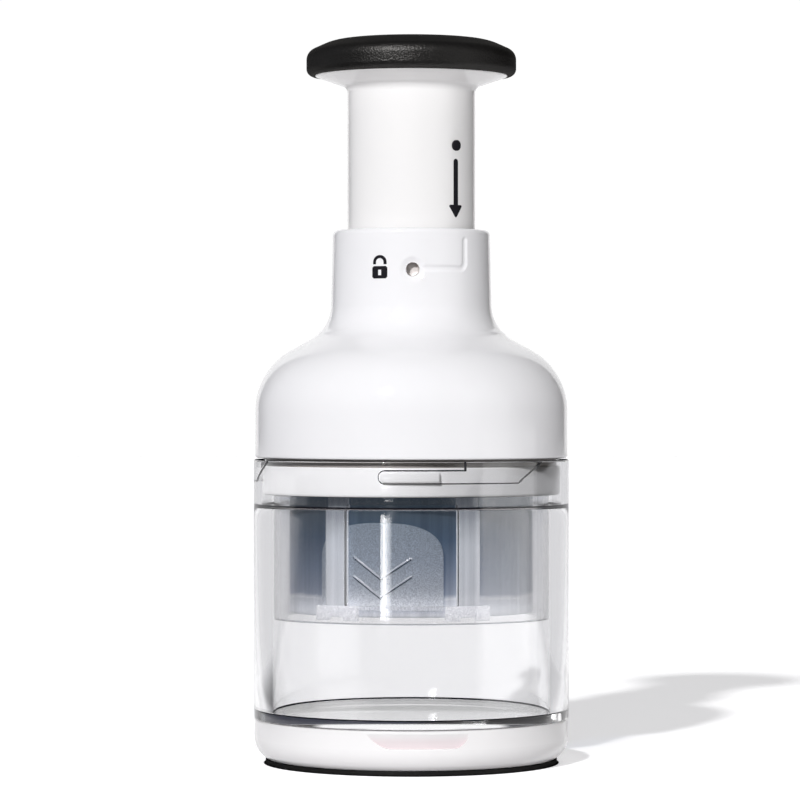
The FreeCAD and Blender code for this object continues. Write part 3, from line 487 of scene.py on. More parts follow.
def cells(phis, zs, r_in, r_out, keep):
    """Closed solid made of the kept cells of a (phi, z) grid between two radii."""
    full = abs(phis[-1] - phis[0] - 360.0) < 1e-6
    m = len(phis) - 1 if full else len(phis)
    nz = len(zs)
    verts = []
    for r in (r_in, r_out):
        for z in zs:
            for j in range(m):
                verts.append(place(r, phis[j], z))

    def vid(s, i, j):
        return s * nz * m + i * m + (j % m if full else j)
    nc = len(phis) - 1
    on = {(i, j) for i in range(nz - 1) for j in range(nc)
          if keep(0.5 * (phis[j] + phis[j + 1]), 0.5 * (zs[i] + zs[i + 1]))}
    faces = []
    for i, j in sorted(on):
        faces.append((vid(1, i, j), vid(1, i, j + 1), vid(1, i + 1, j + 1), vid(1, i + 1, j)))
        faces.append((vid(0, i, j), vid(0, i + 1, j), vid(0, i + 1, j + 1), vid(0, i, j + 1)))
        for di, dj, a, b in ((-1, 0, (i, j), (i, j + 1)), (1, 0, (i + 1, j), (i + 1, j + 1)),
                             (0, -1, (i, j), (i + 1, j)), (0, 1, (i, j + 1), (i + 1, j + 1))):
            o = (i + di, (j + dj) % nc if full else j + dj)
            if o not in on:
                faces.append((vid(0, *a), vid(0, *b), vid(1, *b), vid(1, *a)))
    return verts, faces


def span(a, b, step):
    n = max(1, int(round(abs(b - a) / step)))
    return [a + (b - a) * i / n for i in range(n + 1)]


def merge(*groups):
    out = []
    for g in groups:
        for x in g:
            if not out or x > out[-1] + 1e-4:
                out.append(x)
    return out


def smooth(t):
    t = max(0.0, min(1.0, t))
    return t * t * (3 - 2 * t)


def strip_path(pts, bend, off):
    """Side line, off to one side, of a strip bent along the points, with round bends."""
    P = [np.array(p, float) for p in pts]
    out = []
    n = len(P)
    for i in range(n):
        if i in (0, n - 1):
            d = P[1] - P[0] if i == 0 else P[-1] - P[-2]
            d /= np.linalg.norm(d)
            out.append(P[i] + np.array([-d[1], d[0]]) * off)
            continue
        e, d = P[i] - P[i - 1], P[i + 1] - P[i]
        e /= np.linalg.norm(e)
        d /= np.linalg.norm(d)
        turn = e[0] * d[1] - e[1] * d[0]
        u = -e
        th = math.acos(max(-1.0, min(1.0, float(u @ d))))
        cen = P[i] + (u + d) / np.linalg.norm(u + d) * (bend / math.sin(th / 2))
        rr = bend - off if turn > 0 else bend + off
        cut = bend / math.tan(th / 2)
        a = P[i] - e * cut - cen
        b = P[i] + d * cut - cen
        a0 = math.atan2(a[1], a[0])
        da = math.atan2(b[1], b[0]) - a0
        da = (da + math.pi) % (2 * math.pi) - math.pi
        for q in range(13):
            g = a0 + da * q / 12
            out.append(cen + rr * np.array([math.cos(g), math.sin(g)]))
    return out


def flat_plate(name, loops, z1, z2, mat, body, node):
    """Plate of constant thickness between two heights from flat outlines; inner loops are holes."""
    cu = bpy.data.curves.new(name, "CURVE")
    cu.dimensions = "2D"
    cu.fill_mode = "BOTH"
    for lp in loops:
        sp = cu.splines.new("POLY")
        sp.points.add(len(lp) - 1)
        for k, p in enumerate(lp):
            sp.points[k].co = (p[0] * MM, p[1] * MM, 0.0, 1.0)
        sp.use_cyclic_u = True
    cu.extrude = (z2 - z1) / 2 * MM
    tmp = bpy.data.objects.new(name + "_c", cu)
    scene.collection.objects.link(tmp)
    bpy.context.view_layer.update()
    me = bpy.data.meshes.new_from_object(tmp)
    verts = [(v.co.x, v.co.y, v.co.z + (z1 + z2) / 2 * MM) for v in me.vertices]
    faces = [tuple(p.vertices) for p in me.polygons]
    bpy.data.objects.remove(tmp)
    bpy.data.curves.remove(cu)
    bpy.data.meshes.remove(me)
    return finish_mesh(name, verts, faces, mat, body=body, node=node)


# ------------------------------------------------------------------ housing
WIN_X, WIN_Z = 0.45, 153.15


def collar_r(z):
    return 24.5 + 0.7 * (166.0 - z) / 30.6


GR_PHI, GR_Z = 41.6, 153.45
GR_S = 24.8 * math.radians(GR_PHI)


def groove_distance(s, z):
    """Distance to the middle line of the L-shaped groove beside the window."""
    rc = 2.1
    best = 99.0
    if s < GR_S - rc:
        x = min(max(s, 1.0), GR_S - rc)
        best = min(best, math.hypot(s - x, z - GR_Z))
    if z > GR_Z + rc:
        y = min(max(z, GR_Z + rc), 162.25)
        best = min(best, math.hypot(s - GR_S, z - y))
    if s >= GR_S - rc and z <= GR_Z + rc:
        best = min(best, abs(math.hypot(s - (GR_S - rc), z - (GR_Z + rc)) - rc))
    return best


def collar_dent(s, z):
    """Depth below the collar's surface of the dish and the groove, millimetres."""
    rho = math.hypot(s - WIN_X, z - WIN_Z)
    dish = 0.68 * (1 - smooth((rho - 2.2) / 2.05))
    g = groove_distance(s, z)
    channel = 0.40 * (1 - smooth((g - 0.30) / 0.95)) if g < 1.3 else 0.0
    return max(dish, channel)


Z_FINE = merge(span(96.0, 121.0, 3.0), span(122.0, 146.0, 1.2), [147.0, 148.0, 148.6],
               span(149.0, 157.8, 0.22), span(158.0, 164.4, 0.2))
Z1, F1, Z2, F2 = 122.5, 21.7, 135.4, 12.5
WALL = 2.4
dx, dz = 25.2 - 48.75, Z2 - Z1
ln = math.hypot(dx, dz)
px, pz = 48.75 - dz / ln * WALL, Z1 + dx / ln * WALL
ri1, ri2 = 48.75 - WALL, 25.2 - WALL + 0.2
zi1 = pz + dz / dx * (ri1 - px)
zi2 = pz + dz / dx * (ri2 - px)
housing_path = outline([
    (48.75, 95.2, 0.6), (48.75, Z1, F1), (25.2, Z2, F2), (24.5, 166.0, 1.5),
    (20.7, 166.0, 0.4), (20.7, 164.6), (22.1, 164.6), (22.1, 144.0), (ri2, 143.0),
    (ri2, zi2, F2 + WALL), (ri1, zi1, F1 - WALL), (ri1, 104.0), (44.4, 101.0),
    (44.4, 83.8, 0.4), (46.4, 83.8, 0.9), (46.4, 92.8, 0.5), (45.3, 92.8), (45.3, 95.2)], lines=Z_FINE)
HP = merge(span(-180.0, -20.0, 1.6), span(-19.4, -10.4, 0.6), span(-10.0, 50.0, 0.5), span(50.6, 60.0, 0.8),
           span(61.6, 178.6, 1.6))
cols = len(HP)
J0 = min(j for j, p in enumerate(HP) if p >= -10.0 - 1e-6)
J1 = max(j for j, p in enumerate(HP) if p <= 10.0 + 1e-6)


def housing_shift(i, r, p, z):
    if r > 24.0 and z > 146.0:
        return collar_dent(r * math.radians(p), z)
    if r > 25.0 and 132.6 < z < 135.6:
        return -0.20 * (1 - smooth(abs(z - 134.1) / 0.9)) * smooth((abs(p) - 38.0) / 18.0)
    return 0.0


# Material zones of the housing: 1 is painted shade, a near-black seam line and band underside; 2 is brown painted shade
# in the recess under the seam; 3 is the band with its painted glow.
def housing_zone(a, b):
    z = 0.5 * (a[1] + b[1])
    r = 0.5 * (a[0] + b[0])
    if abs(a[1] - 95.2) < 0.02 and abs(b[1] - 95.2) < 0.02:
        return 1
    if abs(r - 45.3) < 0.05 and 92.8 < z < 95.2:
        return 2
    if z < 84.05 and 44.6 < r < 46.39:
        return 1
    if z < 93.0 and r > 45.0:
        return 3
    return 0


verts, faces, index = lathe(housing_path, HP, housing_shift, housing_zone)


def rows_where(test):
    return [i for i, (r, z) in enumerate(housing_path) if 149.0 - 1e-3 <= z <= 157.8 + 1e-3 and test(r)]


rows_out = rows_where(lambda r: r > 24.0)
rows_in = rows_where(lambda r: abs(r - 22.1) < 0.01)[::-1]
assert len(rows_out) == len(rows_in) and all(abs(housing_path[a][1] - housing_path[b][1]) < 1e-6
                                             for a, b in zip(rows_out, rows_in))
gone = set()
for rows in (rows_out, rows_in):
    lo, hi = min(rows), max(rows)
    for i in range(lo, hi):
        for j in range(J0, J1):
            gone.add(i * cols + j)
faces = [f for q, f in enumerate(faces) if q not in gone]
index = [m for q, m in enumerate(index) if q not in gone]


def loop_of(rows):
    """Border of the square patch, counter-clockwise seen from the front, as (row, column)."""
    lp = [(rows[0], j) for j in range(J0, J1)]
    lp += [(i, J1) for i in rows[:-1]]
    lp += [(rows[-1], j) for j in range(J1, J0, -1)]
    lp += [(i, J0) for i in rows[::-1][:-1]]
    return lp


loops = [loop_of(rows_out), loop_of(rows_in)]
nb = len(loops[0])
rings = 16
theta = []
for i, j in loops[0]:
    r, z = housing_path[i]
    theta.append(math.atan2(z - 153.4, 24.8 * math.radians(HP[j])))
last = []
IN_X, IN_Z, IN_R = WIN_X - 0.08, WIN_Z + 0.08, 2.0
for side, lp in enumerate(loops):
    R0 = 24.8 if side == 0 else 22.1
    prev = [i * cols + j for i, j in lp]
    for q in range(rings - 1, -1, -1):
        t = (q / rings) ** 1.15
        cur = []
        for k, (i, j) in enumerate(lp):
            r, z = housing_path[i]
            s = R0 * math.radians(HP[j])
            if side == 0:
                cs, cz = WIN_X + 2.24 * math.cos(theta[k]), WIN_Z + 2.24 * math.sin(theta[k])
            else:
                cs, cz = IN_X + IN_R * math.cos(theta[k]), IN_Z + IN_R * math.sin(theta[k])
            s2, z2 = cs + (s - cs) * t, cz + (z - cz) * t
            rad = (collar_r(z2) - collar_dent(s2, z2)) if side == 0 else 22.1
            cur.append(len(verts))
            verts.append(place(rad, math.degrees(s2 / R0), z2))
        for k in range(nb):
            l = (k + 1) % nb
            faces.append((prev[k], prev[l], cur[l], cur[k]))
            index.append(0)
        prev = cur
    last.append(prev)
wall = [last[0]]
for depth, hole, t in ((0.73, 2.18, 0.0), (0.84, 2.14, 0.0), (1.6, 2.08, 0.5), (2.3, 2.02, 1.0)):
    cur = []
    for k in range(nb):
        cs, cz = WIN_X - 0.08 * t + hole * math.cos(theta[k]), WIN_Z + 0.08 * t + hole * math.sin(theta[k])
        cur.append(len(verts))
        verts.append(place(collar_r(cz) - depth, math.degrees(cs / 24.8), cz))
    wall.append(cur)
wall.append(last[1])
# the deeper window wall faces take the brown painted shade
for q, (a, b) in enumerate(zip(wall[:-1], wall[1:])):
    for k in range(nb):
        l = (k + 1) % nb
        faces.append((a[k], a[l], b[l], b[k]))
        index.append(2 if q >= 2 else 0)
housing = finish_mesh("housing_body", verts, faces, [white, shade_dark, shade_brown, band_painted_glow], index=index, body="housing",
                      node="housing_shell")

# base finish: painted shade, a darker and warmer pinkish tone inside the finger recess
k = Mat("base_recess_painted_shade")
p = k.principled(IOR=1.5)
sep = k.new("ShaderNodeSeparateXYZ")
k.link(k.tex.outputs["Object"], sep.inputs[0])
flat = k.new("ShaderNodeCombineXYZ")
k.link(sep.outputs["X"], flat.inputs[0])
k.link(sep.outputs["Y"], flat.inputs[1])
length = k.new("ShaderNodeVectorMath", operation="LENGTH")
k.link(flat.outputs[0], length.inputs[0])
deep = k.remap(length.outputs["Value"], 1.0, 0.0, 0.0479, 0.0487)
high = k.remap(sep.outputs["Z"], 0.0, 1.0, 0.0080, 0.0086)
both = k.new("ShaderNodeMath", operation="MULTIPLY")
k.link(deep, both.inputs[0])
k.link(high, both.inputs[1])
tone = k.new("ShaderNodeMix", data_type="RGBA")
k.link(both.outputs[0], tone.inputs["Factor"])
k.link(k.ramp(k.noise(46.0, 3.0), [(0.3, (0.852, 0.840, 0.846)), (0.7, (0.868, 0.856, 0.861))]), tone.inputs[6])
tone.inputs[7].default_value = (0.805, 0.735, 0.752, 1)
k.link(tone.outputs[2], p.inputs["Base Color"])
k.link(k.remap(k.noise(120.0, 4.0, 0.6), 0.12, 0.16), p.inputs["Roughness"])
k.link(k.bump(k.noise(900.0, 4.0, 0.65), 1.0, 0.0000006), p.inputs["Normal"])
k.surface(p.outputs["BSDF"])
nodes["base_lid"].data.materials[0] = k.m

# black foot ring
v, f, ix = lathe(outline([(38.0, 0.0, 0.3), (45.5, 0.0, 0.25), (45.5, 1.5, 0.1), (43.0, 1.5), (43.0, 2.4), (40.0, 2.4),
                          (40.0, 1.5), (38.0, 1.5)], gap=9), span(-180.0, 180.0, 1.5)[:-1])
finish_mesh("foot_pad_ring", v, f, foot_black, body="base", node="foot_ring")

# three bayonet lugs
for n in range(3):
    zc = (88.35 + 91.6) / 2
    ph = span(-9.4, 10.2, 0.8)
    base = 48.1
    v, f = [], []
    for z in (88.35, 91.6):
        for r in (45.9, base):
            for p in ph:
                v.append(place(r, p + 120.0 * n, z))
    m = len(ph)
    a, b, c, d = 0, m, 2 * m, 3 * m
    for j in range(m - 1):
        f += [(b + j, b + j + 1, d + j + 1, d + j), (a + j, b + j, b + j + 1, a + j + 1),
              (c + j, c + j + 1, d + j + 1, d + j), (a + j, a + j + 1, c + j + 1, c + j)]
    f += [(a + m - 1, b + m - 1, d + m - 1, c + m - 1)]
    # rounded leading end
    arc = []
    for q in range(1, 12):
        g = math.pi * q / 12
        arc.append((-9.4 - math.degrees(1.625 * math.sin(g) / 47.0), zc - 1.625 * math.cos(g)))
    left = [[a, b]]
    for p, z in arc:
        i0 = len(v)
        v.append(place(45.9, p + 120.0 * n, z))
        v.append(place(base, p + 120.0 * n, z))
        left.append([i0, i0 + 1])
    left.append([c, d])
    for (x0, x1), (y0, y1) in zip(left[:-1], left[1:]):
        f.append((x0, y0, y1, x1))
    f.append(tuple(q[1] for q in left))
    f.append(tuple(q[0] for q in left))
    finish_mesh("bayonet_lug_%d" % (n + 1), v, f, band_painted_glow, bevel=0.35, bevel_seg=3, body="housing", node="housing_shell")
# screw bosses under the shoulder
for n, p in enumerate((60.0, 180.0, 300.0)):
    a = math.radians(p)
    cx, cy = 37.8 * math.sin(a), -37.8 * math.cos(a)
    v, f = [], []
    for z in (99.8, 122.5):
        for r in (1.3, 3.6):
            for q in range(32):
                g = 2 * math.pi * q / 32
                v.append(((cx + r * math.cos(g)) * MM, (cy + r * math.sin(g)) * MM, z * MM))
    for q in range(32):
        l = (q + 1) % 32
        f += [(q, l, 32 + l, 32 + q), (64 + q, 96 + q, 96 + l, 64 + l), (32 + q, 32 + l, 96 + l, 96 + q),
              (q, 64 + q, 64 + l, l)]
    finish_mesh("screw_boss_%d" % (n + 1), v, f, white, body="housing", node="housing_shell")

# ---------------------------------------------------------------------- cup
S_CUP = 47.7


def groove_edge(p, z):
    """Signed distance in mm to the outline of a bayonet groove in the cup's upper bore, negative inside."""
    s = S_CUP * math.radians(p)
    s0, s1 = S_CUP * math.radians(-9.6), S_CUP * math.radians(42.0)
    zc = 89.975
    slot = math.hypot(s - min(max(s, s0), s1), z - zc) - 1.975
    sa, sc = S_CUP * math.radians(19.7), S_CUP * math.radians(56.6)
    low = 88.6 - 0.6 * (s - sa) / (s1 - sa)
    nx, nz = 94.9 - 88.0, -(sc - s1)
    ln = math.hypot(nx, nz)
    diag = ((s - s1) * nx + (z - 88.0) * nz) / ln
    mouth = max(sa - s, low - z, diag)
    return min(slot, mouth)


def cup_shift(i, r, p, z):
    if z < 86.0 or r > 48.5 or r < 46.0:
        return 0.0
    q = (p + 60.0) % 120.0 - 60.0
    g = min(groove_edge(q, z), groove_edge(q + 120.0, z))
    if g > 0.5:
        return 0.0
    return -(48.5 - r) * (1 - smooth((g + 0.17) / 0.34))


cup_path = outline([
    (45.7, 7.0, 0.5), (45.7, 9.6), (44.9, 9.6), (44.9, 11.4), (45.7, 11.4), (45.7, 14.05), (49.2, 14.05, 0.4),
    (49.2, 94.6, 0.5), (46.9, 94.6, 0.4), (46.9, 80.3), (43.6, 80.3, 0.8), (43.4, 16.4, 0.4), (0, 16.4), (0, 13.2),
    (43.2, 13.2, 0.6), (43.2, 7.0, 0.5)], lines=merge(span(17.0, 80.0, 3.0), [80.85, 81.9, 84.0, 86.5],
                                                      span(87.4, 94.15, 0.14)), seg=6)
CP = []
for n in (-1, 0, 1):
    b = 120.0 * n
    CP.append(merge(span(b - 60.0, b - 12.8, 1.4), span(b - 12.6, b - 8.6, 0.2), span(b - 8.0, b + 19.0, 1.0),
                    span(b + 19.15, b + 20.8, 0.15), span(b + 21.5, b + 40.5, 1.0), span(b + 41.0, b + 57.8, 0.2),
                    [b + 58.8]))
CP = merge(*CP)
verts, faces, _ = lathe(cup_path, CP, cup_shift)
nc = len(CP)
# faces that take the painted shade of cup_edge: groove flanks, ledge ring, rim top and floor corner
index = []
for q, f in enumerate(faces):
    i = q // nc
    a, b = cup_path[i], cup_path[(i + 1) % len(cup_path)]
    mat = 0
    if min(a[1], b[1]) > 86.0 and max(a[0], b[0]) < 47.35 and min(a[0], b[0]) > 46.5:
        rr = [math.hypot(verts[k][0], verts[k][1]) for k in f]
        if max(rr) - min(rr) > 0.00020:
            mat = 1
    if abs(a[0] - 46.9) < 0.01 and abs(b[0] - 46.9) < 0.01 and max(a[1], b[1]) < 80.95:
        mat = 1
    if min(a[1], b[1]) > 94.5:
        mat = 1
    if 42.95 < 0.5 * (a[0] + b[0]) < 43.43 and 16.38 < 0.5 * (a[1] + b[1]) < 16.85:
        mat = 1
    index.append(mat)
finish_mesh("cup_body", verts, faces, [clear_cup, cup_edge], index=index, body="cup", node="cup")

# -------------------------------------------------------------- clear skirt
WC, WH = -4.0, 22.8
PW = 9.6
R_SI, R_SO = 41.3, 42.9


def off(p, c):
    return (p - c + 180.0) % 360.0 - 180.0


def in_window(p, z):
    return 51.0 < z < 81.5 and (abs(off(p, WC)) < WH or abs(off(p, WC + 180.0)) < WH)


edges = sorted(((WC + w + s * WH + 180.0) % 360.0) - 180.0 for w in (0.0, 180.0) for s in (-1, 1))
ph = [-180.0]
for e in edges + [180.0]:
    ph += span(ph[-1], e, 1.5)[1:]
zs = merge([45.4, 46.0], span(47.0, 51.0, 1.0), span(51.0, 81.5, 1.5), span(81.5, 92.2, 1.5))
v, f = cells(ph, zs, R_SI, R_SO, lambda p, z: not in_window(p, z))
# the left window edge faces take the post material with its painted glow
cut = []
for q in f:
    at = [math.degrees(math.atan2(v[k][0], -v[k][1])) for k in q]
    left_edge = min(abs(off(at[0], WC - WH)), abs(off(at[0], WC - WH + 180.0))) < 0.05
    cut.append(1 if left_edge and max(at) - min(at) < 0.01 else 0)
finish_mesh("skirt_wall", v, f, [skirt_wall, frost_post_painted_glow], index=cut, bevel=0.28, bevel_seg=3, body="housing",
            node="clear_skirt")
for nm, pts in (("skirt_flange", [(41.35, 92.25), (44.35, 92.25), (44.35, 96.35, 0.2), (41.35, 96.35, 0.2)]),
                ("skirt_keeper", [(40.6, 88.5), (41.25, 88.5), (41.25, 90.2), (40.6, 90.2)]),
                ("skirt_shelf", [(38.6, 84.4, 0.3), (41.25, 84.4), (41.25, 86.0), (38.6, 86.0, 0.3)])):
    v, f, ix = lathe(outline(pts), span(-180.0, 180.0, 2.0)[:-1])
    finish_mesh(nm, v, f, skirt_wall, body="housing", node="clear_skirt")
n = 0
for w in (0.0, 180.0):
    for s in (-1, 1):
        n += 1
        mid = WC + w + s * (WH + PW / 2)
        v, f = cells(span(mid - PW / 2, mid + PW / 2, 1.2), span(51.0, 84.3, 1.6), 40.3, 41.26, lambda p, z: True)
        finish_mesh("window_post_%d" % n, v, f, frost_post_painted_glow, bevel=0.22, bevel_seg=3, body="housing", node="clear_skirt")
        pp = merge(span(mid - 9.6, mid - 3.6, 1.2), span(mid - 3.6, mid + 3.2, 1.2), span(mid + 3.2, mid + 9.6, 1.2))
        v, f = cells(pp, merge([46.4, 47.5], span(47.5, 50.9, 0.9)), 39.9, 41.26,
                     lambda p, z, m=mid: not (z < 47.5 and m - 3.6 < p < m + 3.2))
        finish_mesh("window_foot_%d" % n, v, f, frost_foot_painted_glow, bevel=0.22, bevel_seg=3, body="housing", node="clear_skirt")

# -------------------------------------------------------------- blade cover
v, f, ix = lathe(outline([(36.4, 47.4, 0.4), (38.0, 47.4, 0.6), (38.0, 86.4), (40.2, 86.4, 0.3), (40.2, 88.0, 0.4),
                          (36.4, 88.0, 0.5)], lines=span(48.5, 86.0, 1.5)), span(-180.0, 180.0, 1.25)[:-1])
finish_mesh("cover_wall", v, f, smoke_wall_painted_light, body="cover", node="blade_cover")
W = [(-32.6, 9.0), (-16.5, -32.5), (0.0, 33.5), (16.5, -32.5), (32.6, 9.0)]
slot_pts = [(-33.0, 10.0)] + W[1:4] + [(33.0, 10.0)]
slot_loop = strip_path(slot_pts, 1.3, 0.9) + strip_path(slot_pts, 1.3, -0.9)[::-1]
disc = [(36.36 * math.cos(2 * math.pi * q / 180), 36.36 * math.sin(2 * math.pi * q / 180)) for q in range(180)]
flat_plate("cover_floor", [disc, slot_loop], 49.0, 50.9, smoke_wall_painted_light, "cover", "blade_cover")
rib_pts = [(-15.55, -28.7), W[2], (15.55, -28.7)]
leg = np.array([15.55, 62.2]) / math.hypot(15.55, 62.2)
side_on = np.array([-leg[1], leg[0]])
foot = np.array(rib_pts[0])
reach = math.hypot(15.55, 62.2) - 9.2
bar = [foot + side_on * 0.95, foot + side_on * 1.9, foot + side_on * 1.9 + leg * reach,
       foot + side_on * 1.35 + leg * (reach + 2.4), foot + side_on * 0.95 + leg * (reach + 3.0)]
flat_plate("cover_rib_left", [bar], 50.92, 52.5, smoke_wall_painted_light, "cover", "blade_cover")
flat_plate("cover_rib_right", [[np.array([-b[0], b[1]]) for b in bar[::-1]]], 50.92, 52.5, smoke_wall_painted_light, "cover", "blade_cover")
rib_loop = strip_path(rib_pts, 1.3, -0.95) + strip_path(rib_pts, 2.3, -1.9)[::-1]
flat_plate("cover_rib_inner", [rib_loop], 50.92, 52.5, smoke_wall_painted_light, "cover", "blade_cover")

TH = 27.4
T_LO, T_KNEE, T_HI = 49.4, 64.6, 76.0


def tab_half(z):
    """Half width in degrees of the thumb tab at a height."""
    if z <= T_KNEE:
        return TH
    t = min(1.0, (z - T_KNEE) / (T_HI - T_KNEE))
    return TH * max(0.0, 1 - t ** 2.6) ** (1 / 2.6)


def chevron(s, z):
    """Distance to the nearest chevron stroke's middle line, and whether the point is above it."""
    best = (9.0, 1)
    rise, end = (6.9, 8.1) if s < 0 else (6.1, 8.9)
    for zc in (59.2, 53.4 if s < 0 else 53.7):
        x = min(abs(s), end)
        zl = zc + x * rise / 8.9
        d = math.hypot(abs(s) - x, z - zl) if abs(s) > end else abs(z - zl) * math.cos(math.atan2(rise, 8.9))
        if d < best[0]:
            best = (d, 1 if z > zl else -1)
    return best


def chevron_dent(s, z):
    return -0.34 * (1 - smooth((chevron(s, z)[0] - 0.14) / 0.28))


tv = [T_LO + (T_KNEE - T_LO) * q / 84 for q in range(85)]
tv += [T_KNEE + (T_HI - T_KNEE) * math.sin(math.pi / 2 * q / 34) ** 1.0 for q in range(1, 35)]
NU = 240
for n, phi0 in enumerate((-13.4, 166.6)):
    v, f = [], []
    R1, R2 = 38.03, 39.5
    zmid = 0.5 * (T_LO + T_HI)

    def tab_point(u, z, inset, r, dent=False):
        half = max(tab_half(z), 4.0)
        mm = 38.8 * math.radians(half)
        p = u * half * (1 - inset / mm)
        zz = z
        zz = min(max(zz, T_LO + inset), T_HI - inset) if inset else zz
        if dent:
            r = r - chevron_dent(38.8 * math.radians(p) - 0.3, zz)
        return place(r, phi0 + p, zz)
    grid = {}
    for layer, (inset, r, dent) in enumerate(((0.0, R1, False), (0.45, R2, True))):
        for i, z in enumerate(tv):
            for j in range(NU + 1):
                u = -1 + 2 * j / NU
                grid[layer, i, j] = len(v)
                v.append(tab_point(u, z, inset, r, dent))
    mi = []
    for layer in (0, 1):
        for i in range(len(tv) - 1):
            zq = 0.5 * (tv[i] + tv[i + 1])
            for j in range(NU):
                f.append((grid[layer, i, j], grid[layer, i, j + 1], grid[layer, i + 1, j + 1], grid[layer, i + 1, j]))
                # painted highlight above each chevron ridge and painted shade below it
                tone = 0
                if layer == 1 and 52.0 < zq < 68.0:
                    d, above = chevron(38.8 * math.radians((-1 + (2 * j + 1) / NU) * tab_half(zq)) - 0.3, zq)
                    if above > 0 and 0.14 < d < 0.38:
                        tone = 2
                    elif above < 0 and 0.10 < d < 0.44:
                        tone = 1
                mi.append(tone)
    border = [(0, j) for j in range(NU)] + [(i, NU) for i in range(len(tv) - 1)]
    border += [(len(tv) - 1, j) for j in range(NU, 0, -1)] + [(i, 0) for i in range(len(tv) - 1, 0, -1)]
    prev = [grid[0, i, j] for i, j in border]
    for inset, r in ((0.0, R2 - 0.45), (0.06, R2 - 0.24), (0.2, R2 - 0.07)):
        cur = []
        for i, j in border:
            cur.append(len(v))
            v.append(tab_point(-1 + 2 * j / NU, tv[i], inset, r))
        for k in range(len(border)):
            l = (k + 1) % len(border)
            f.append((prev[k], prev[l], cur[l], cur[k]))
        prev = cur
    cur = [grid[1, i, j] for i, j in border]
    for k in range(len(border)):
        l = (k + 1) % len(border)
        f.append((prev[k], prev[l], cur[l], cur[k]))
    mi += [0] * (len(f) - len(mi))
    finish_mesh("thumb_tab_%d" % (n + 1), v, f, [smoke_tab_painted_light, tab_painted_shade, tab_painted_highlight], index=mi, sharp=50.0, body="cover",
                node="blade_cover")

# ------------------------------------------------------------------- spring
v, f = [], []
WIRE, COIL = 0.8, 13.2
zlo, zhi = 102.0 + WIRE + 0.05, 198.5 - WIRE - 0.05
steps, ringn = 1500, 14
heights = []
for q in range(steps + 1):
    t = 10.6 * q / steps
    if t < 0.8:
        h = 1.66 * t
    elif t > 9.8:
        h = (zhi - zlo) - 1.66 * (10.6 - t)
    else:
        h = 1.66 * 0.8 + (zhi - zlo - 2 * 1.66 * 0.8) * (t - 0.8) / 9.0
    a = 2 * math.pi * t
    heights.append((COIL * math.cos(a), COIL * math.sin(a), zlo + h))
C = np.array(heights)
for q in range(steps + 1):
    d = C[min(q + 1, steps)] - C[max(q - 1, 0)]
    d /= np.linalg.norm(d)
    out = np.array([C[q][0], C[q][1], 0.0]) / COIL
    up = np.cross(d, out)
    up /= np.linalg.norm(up)
    out = np.cross(up, d)
    for g in range(ringn):
        a = 2 * math.pi * g / ringn
        p = C[q] + WIRE * (math.cos(a) * out + math.sin(a) * up)
        v.append((p[0] * MM, p[1] * MM, p[2] * MM))
for q in range(steps):
    for g in range(ringn):
        h = (g + 1) % ringn
        f.append((q * ringn + g, q * ringn + h, (q + 1) * ringn + h, (q + 1) * ringn + g))
f.append(tuple(range(ringn)))
f.append(tuple(steps * ringn + g for g in range(ringn)))
spring = finish_mesh("spring_coil", v, f, spring_steel, body="housing", node="return_spring")
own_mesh(spring)


# -------------------------------------------------------------------- stage
FLOOR_LIFT = 0.47
FLOOR_DIM = 0.70
KEY = 2.55
SIDE = 0.055
TOP = (0.15, 0.15, 0.155)
bm = bmesh.new()
bmesh.ops.create_grid(bm, x_segments=2, y_segments=2, size=4.0)
me = bpy.data.meshes.new("floor")
bm.to_mesh(me)
bm.free()
floor = bpy.data.objects.new("floor", me)
scene.collection.objects.link(floor)
floor.location = (0.0, 1.5, 0.0)
k = Mat("floor_paper")
pale = k.new("ShaderNodeBsdfDiffuse")
k.link(k.ramp(k.noise(3.0, 3.0), [(0.3, (0.875, 0.872, 0.880)), (0.7, (0.885, 0.882, 0.890))]), pale.inputs["Color"])
lift = k.new("ShaderNodeEmission")
lift.inputs["Color"].default_value = (1.0, 0.995, 1.0, 1)
lift.inputs["Strength"].default_value = FLOOR_LIFT
add = k.new("ShaderNodeAddShader")
k.link(pale.outputs["BSDF"], add.inputs[0])
k.link(lift.outputs["Emission"], add.inputs[1])
f_sep = k.new("ShaderNodeSeparateXYZ")
k.link(k.tex.outputs["Object"], f_sep.inputs[0])
f_abs = k.new("ShaderNodeMath", operation="ABSOLUTE")
k.link(f_sep.outputs["X"], f_abs.inputs[0])
f_dep = k.new("ShaderNodeMath", operation="ADD")
k.link(f_sep.outputs["Y"], f_dep.inputs[0])
f_dep.inputs[1].default_value = 2.68
f_div = k.new("ShaderNodeMath", operation="DIVIDE")
k.link(f_abs.outputs[0], f_div.inputs[0])
k.link(f_dep.outputs[0], f_div.inputs[1])
f_wide = k.remap(f_div.outputs[0], 1.0, 0.0, 0.118, 0.150)
f_near = k.remap(f_sep.outputs["Y"], 0.0, 1.0, -1.72, -1.64)
f_off = k.new("ShaderNodeMath", operation="ADD")
k.link(f_sep.outputs["Y"], f_off.inputs[0])
f_off.inputs[1].default_value = 1.5
f_back = k.remap(f_sep.outputs["Y"], 0.0, 1.0, -1.36, -1.20)
f_both = k.new("ShaderNodeMath", operation="MAXIMUM")
k.link(f_wide, f_both.inputs[0])
k.link(f_back, f_both.inputs[1])
f_in = k.new("ShaderNodeMath", operation="MULTIPLY")
k.link(f_both.outputs[0], f_in.inputs[0])
k.link(f_near, f_in.inputs[1])
shade = k.new("ShaderNodeBsdfDiffuse")
k.link(k.ramp(k.noise(3.0, 3.0), [(0.3, (0.150, 0.150, 0.158)), (0.7, (0.165, 0.165, 0.172))]), shade.inputs["Color"])
sweep = k.new("ShaderNodeMixShader")
f_turn = k.new("ShaderNodeMath", operation="MULTIPLY_ADD")
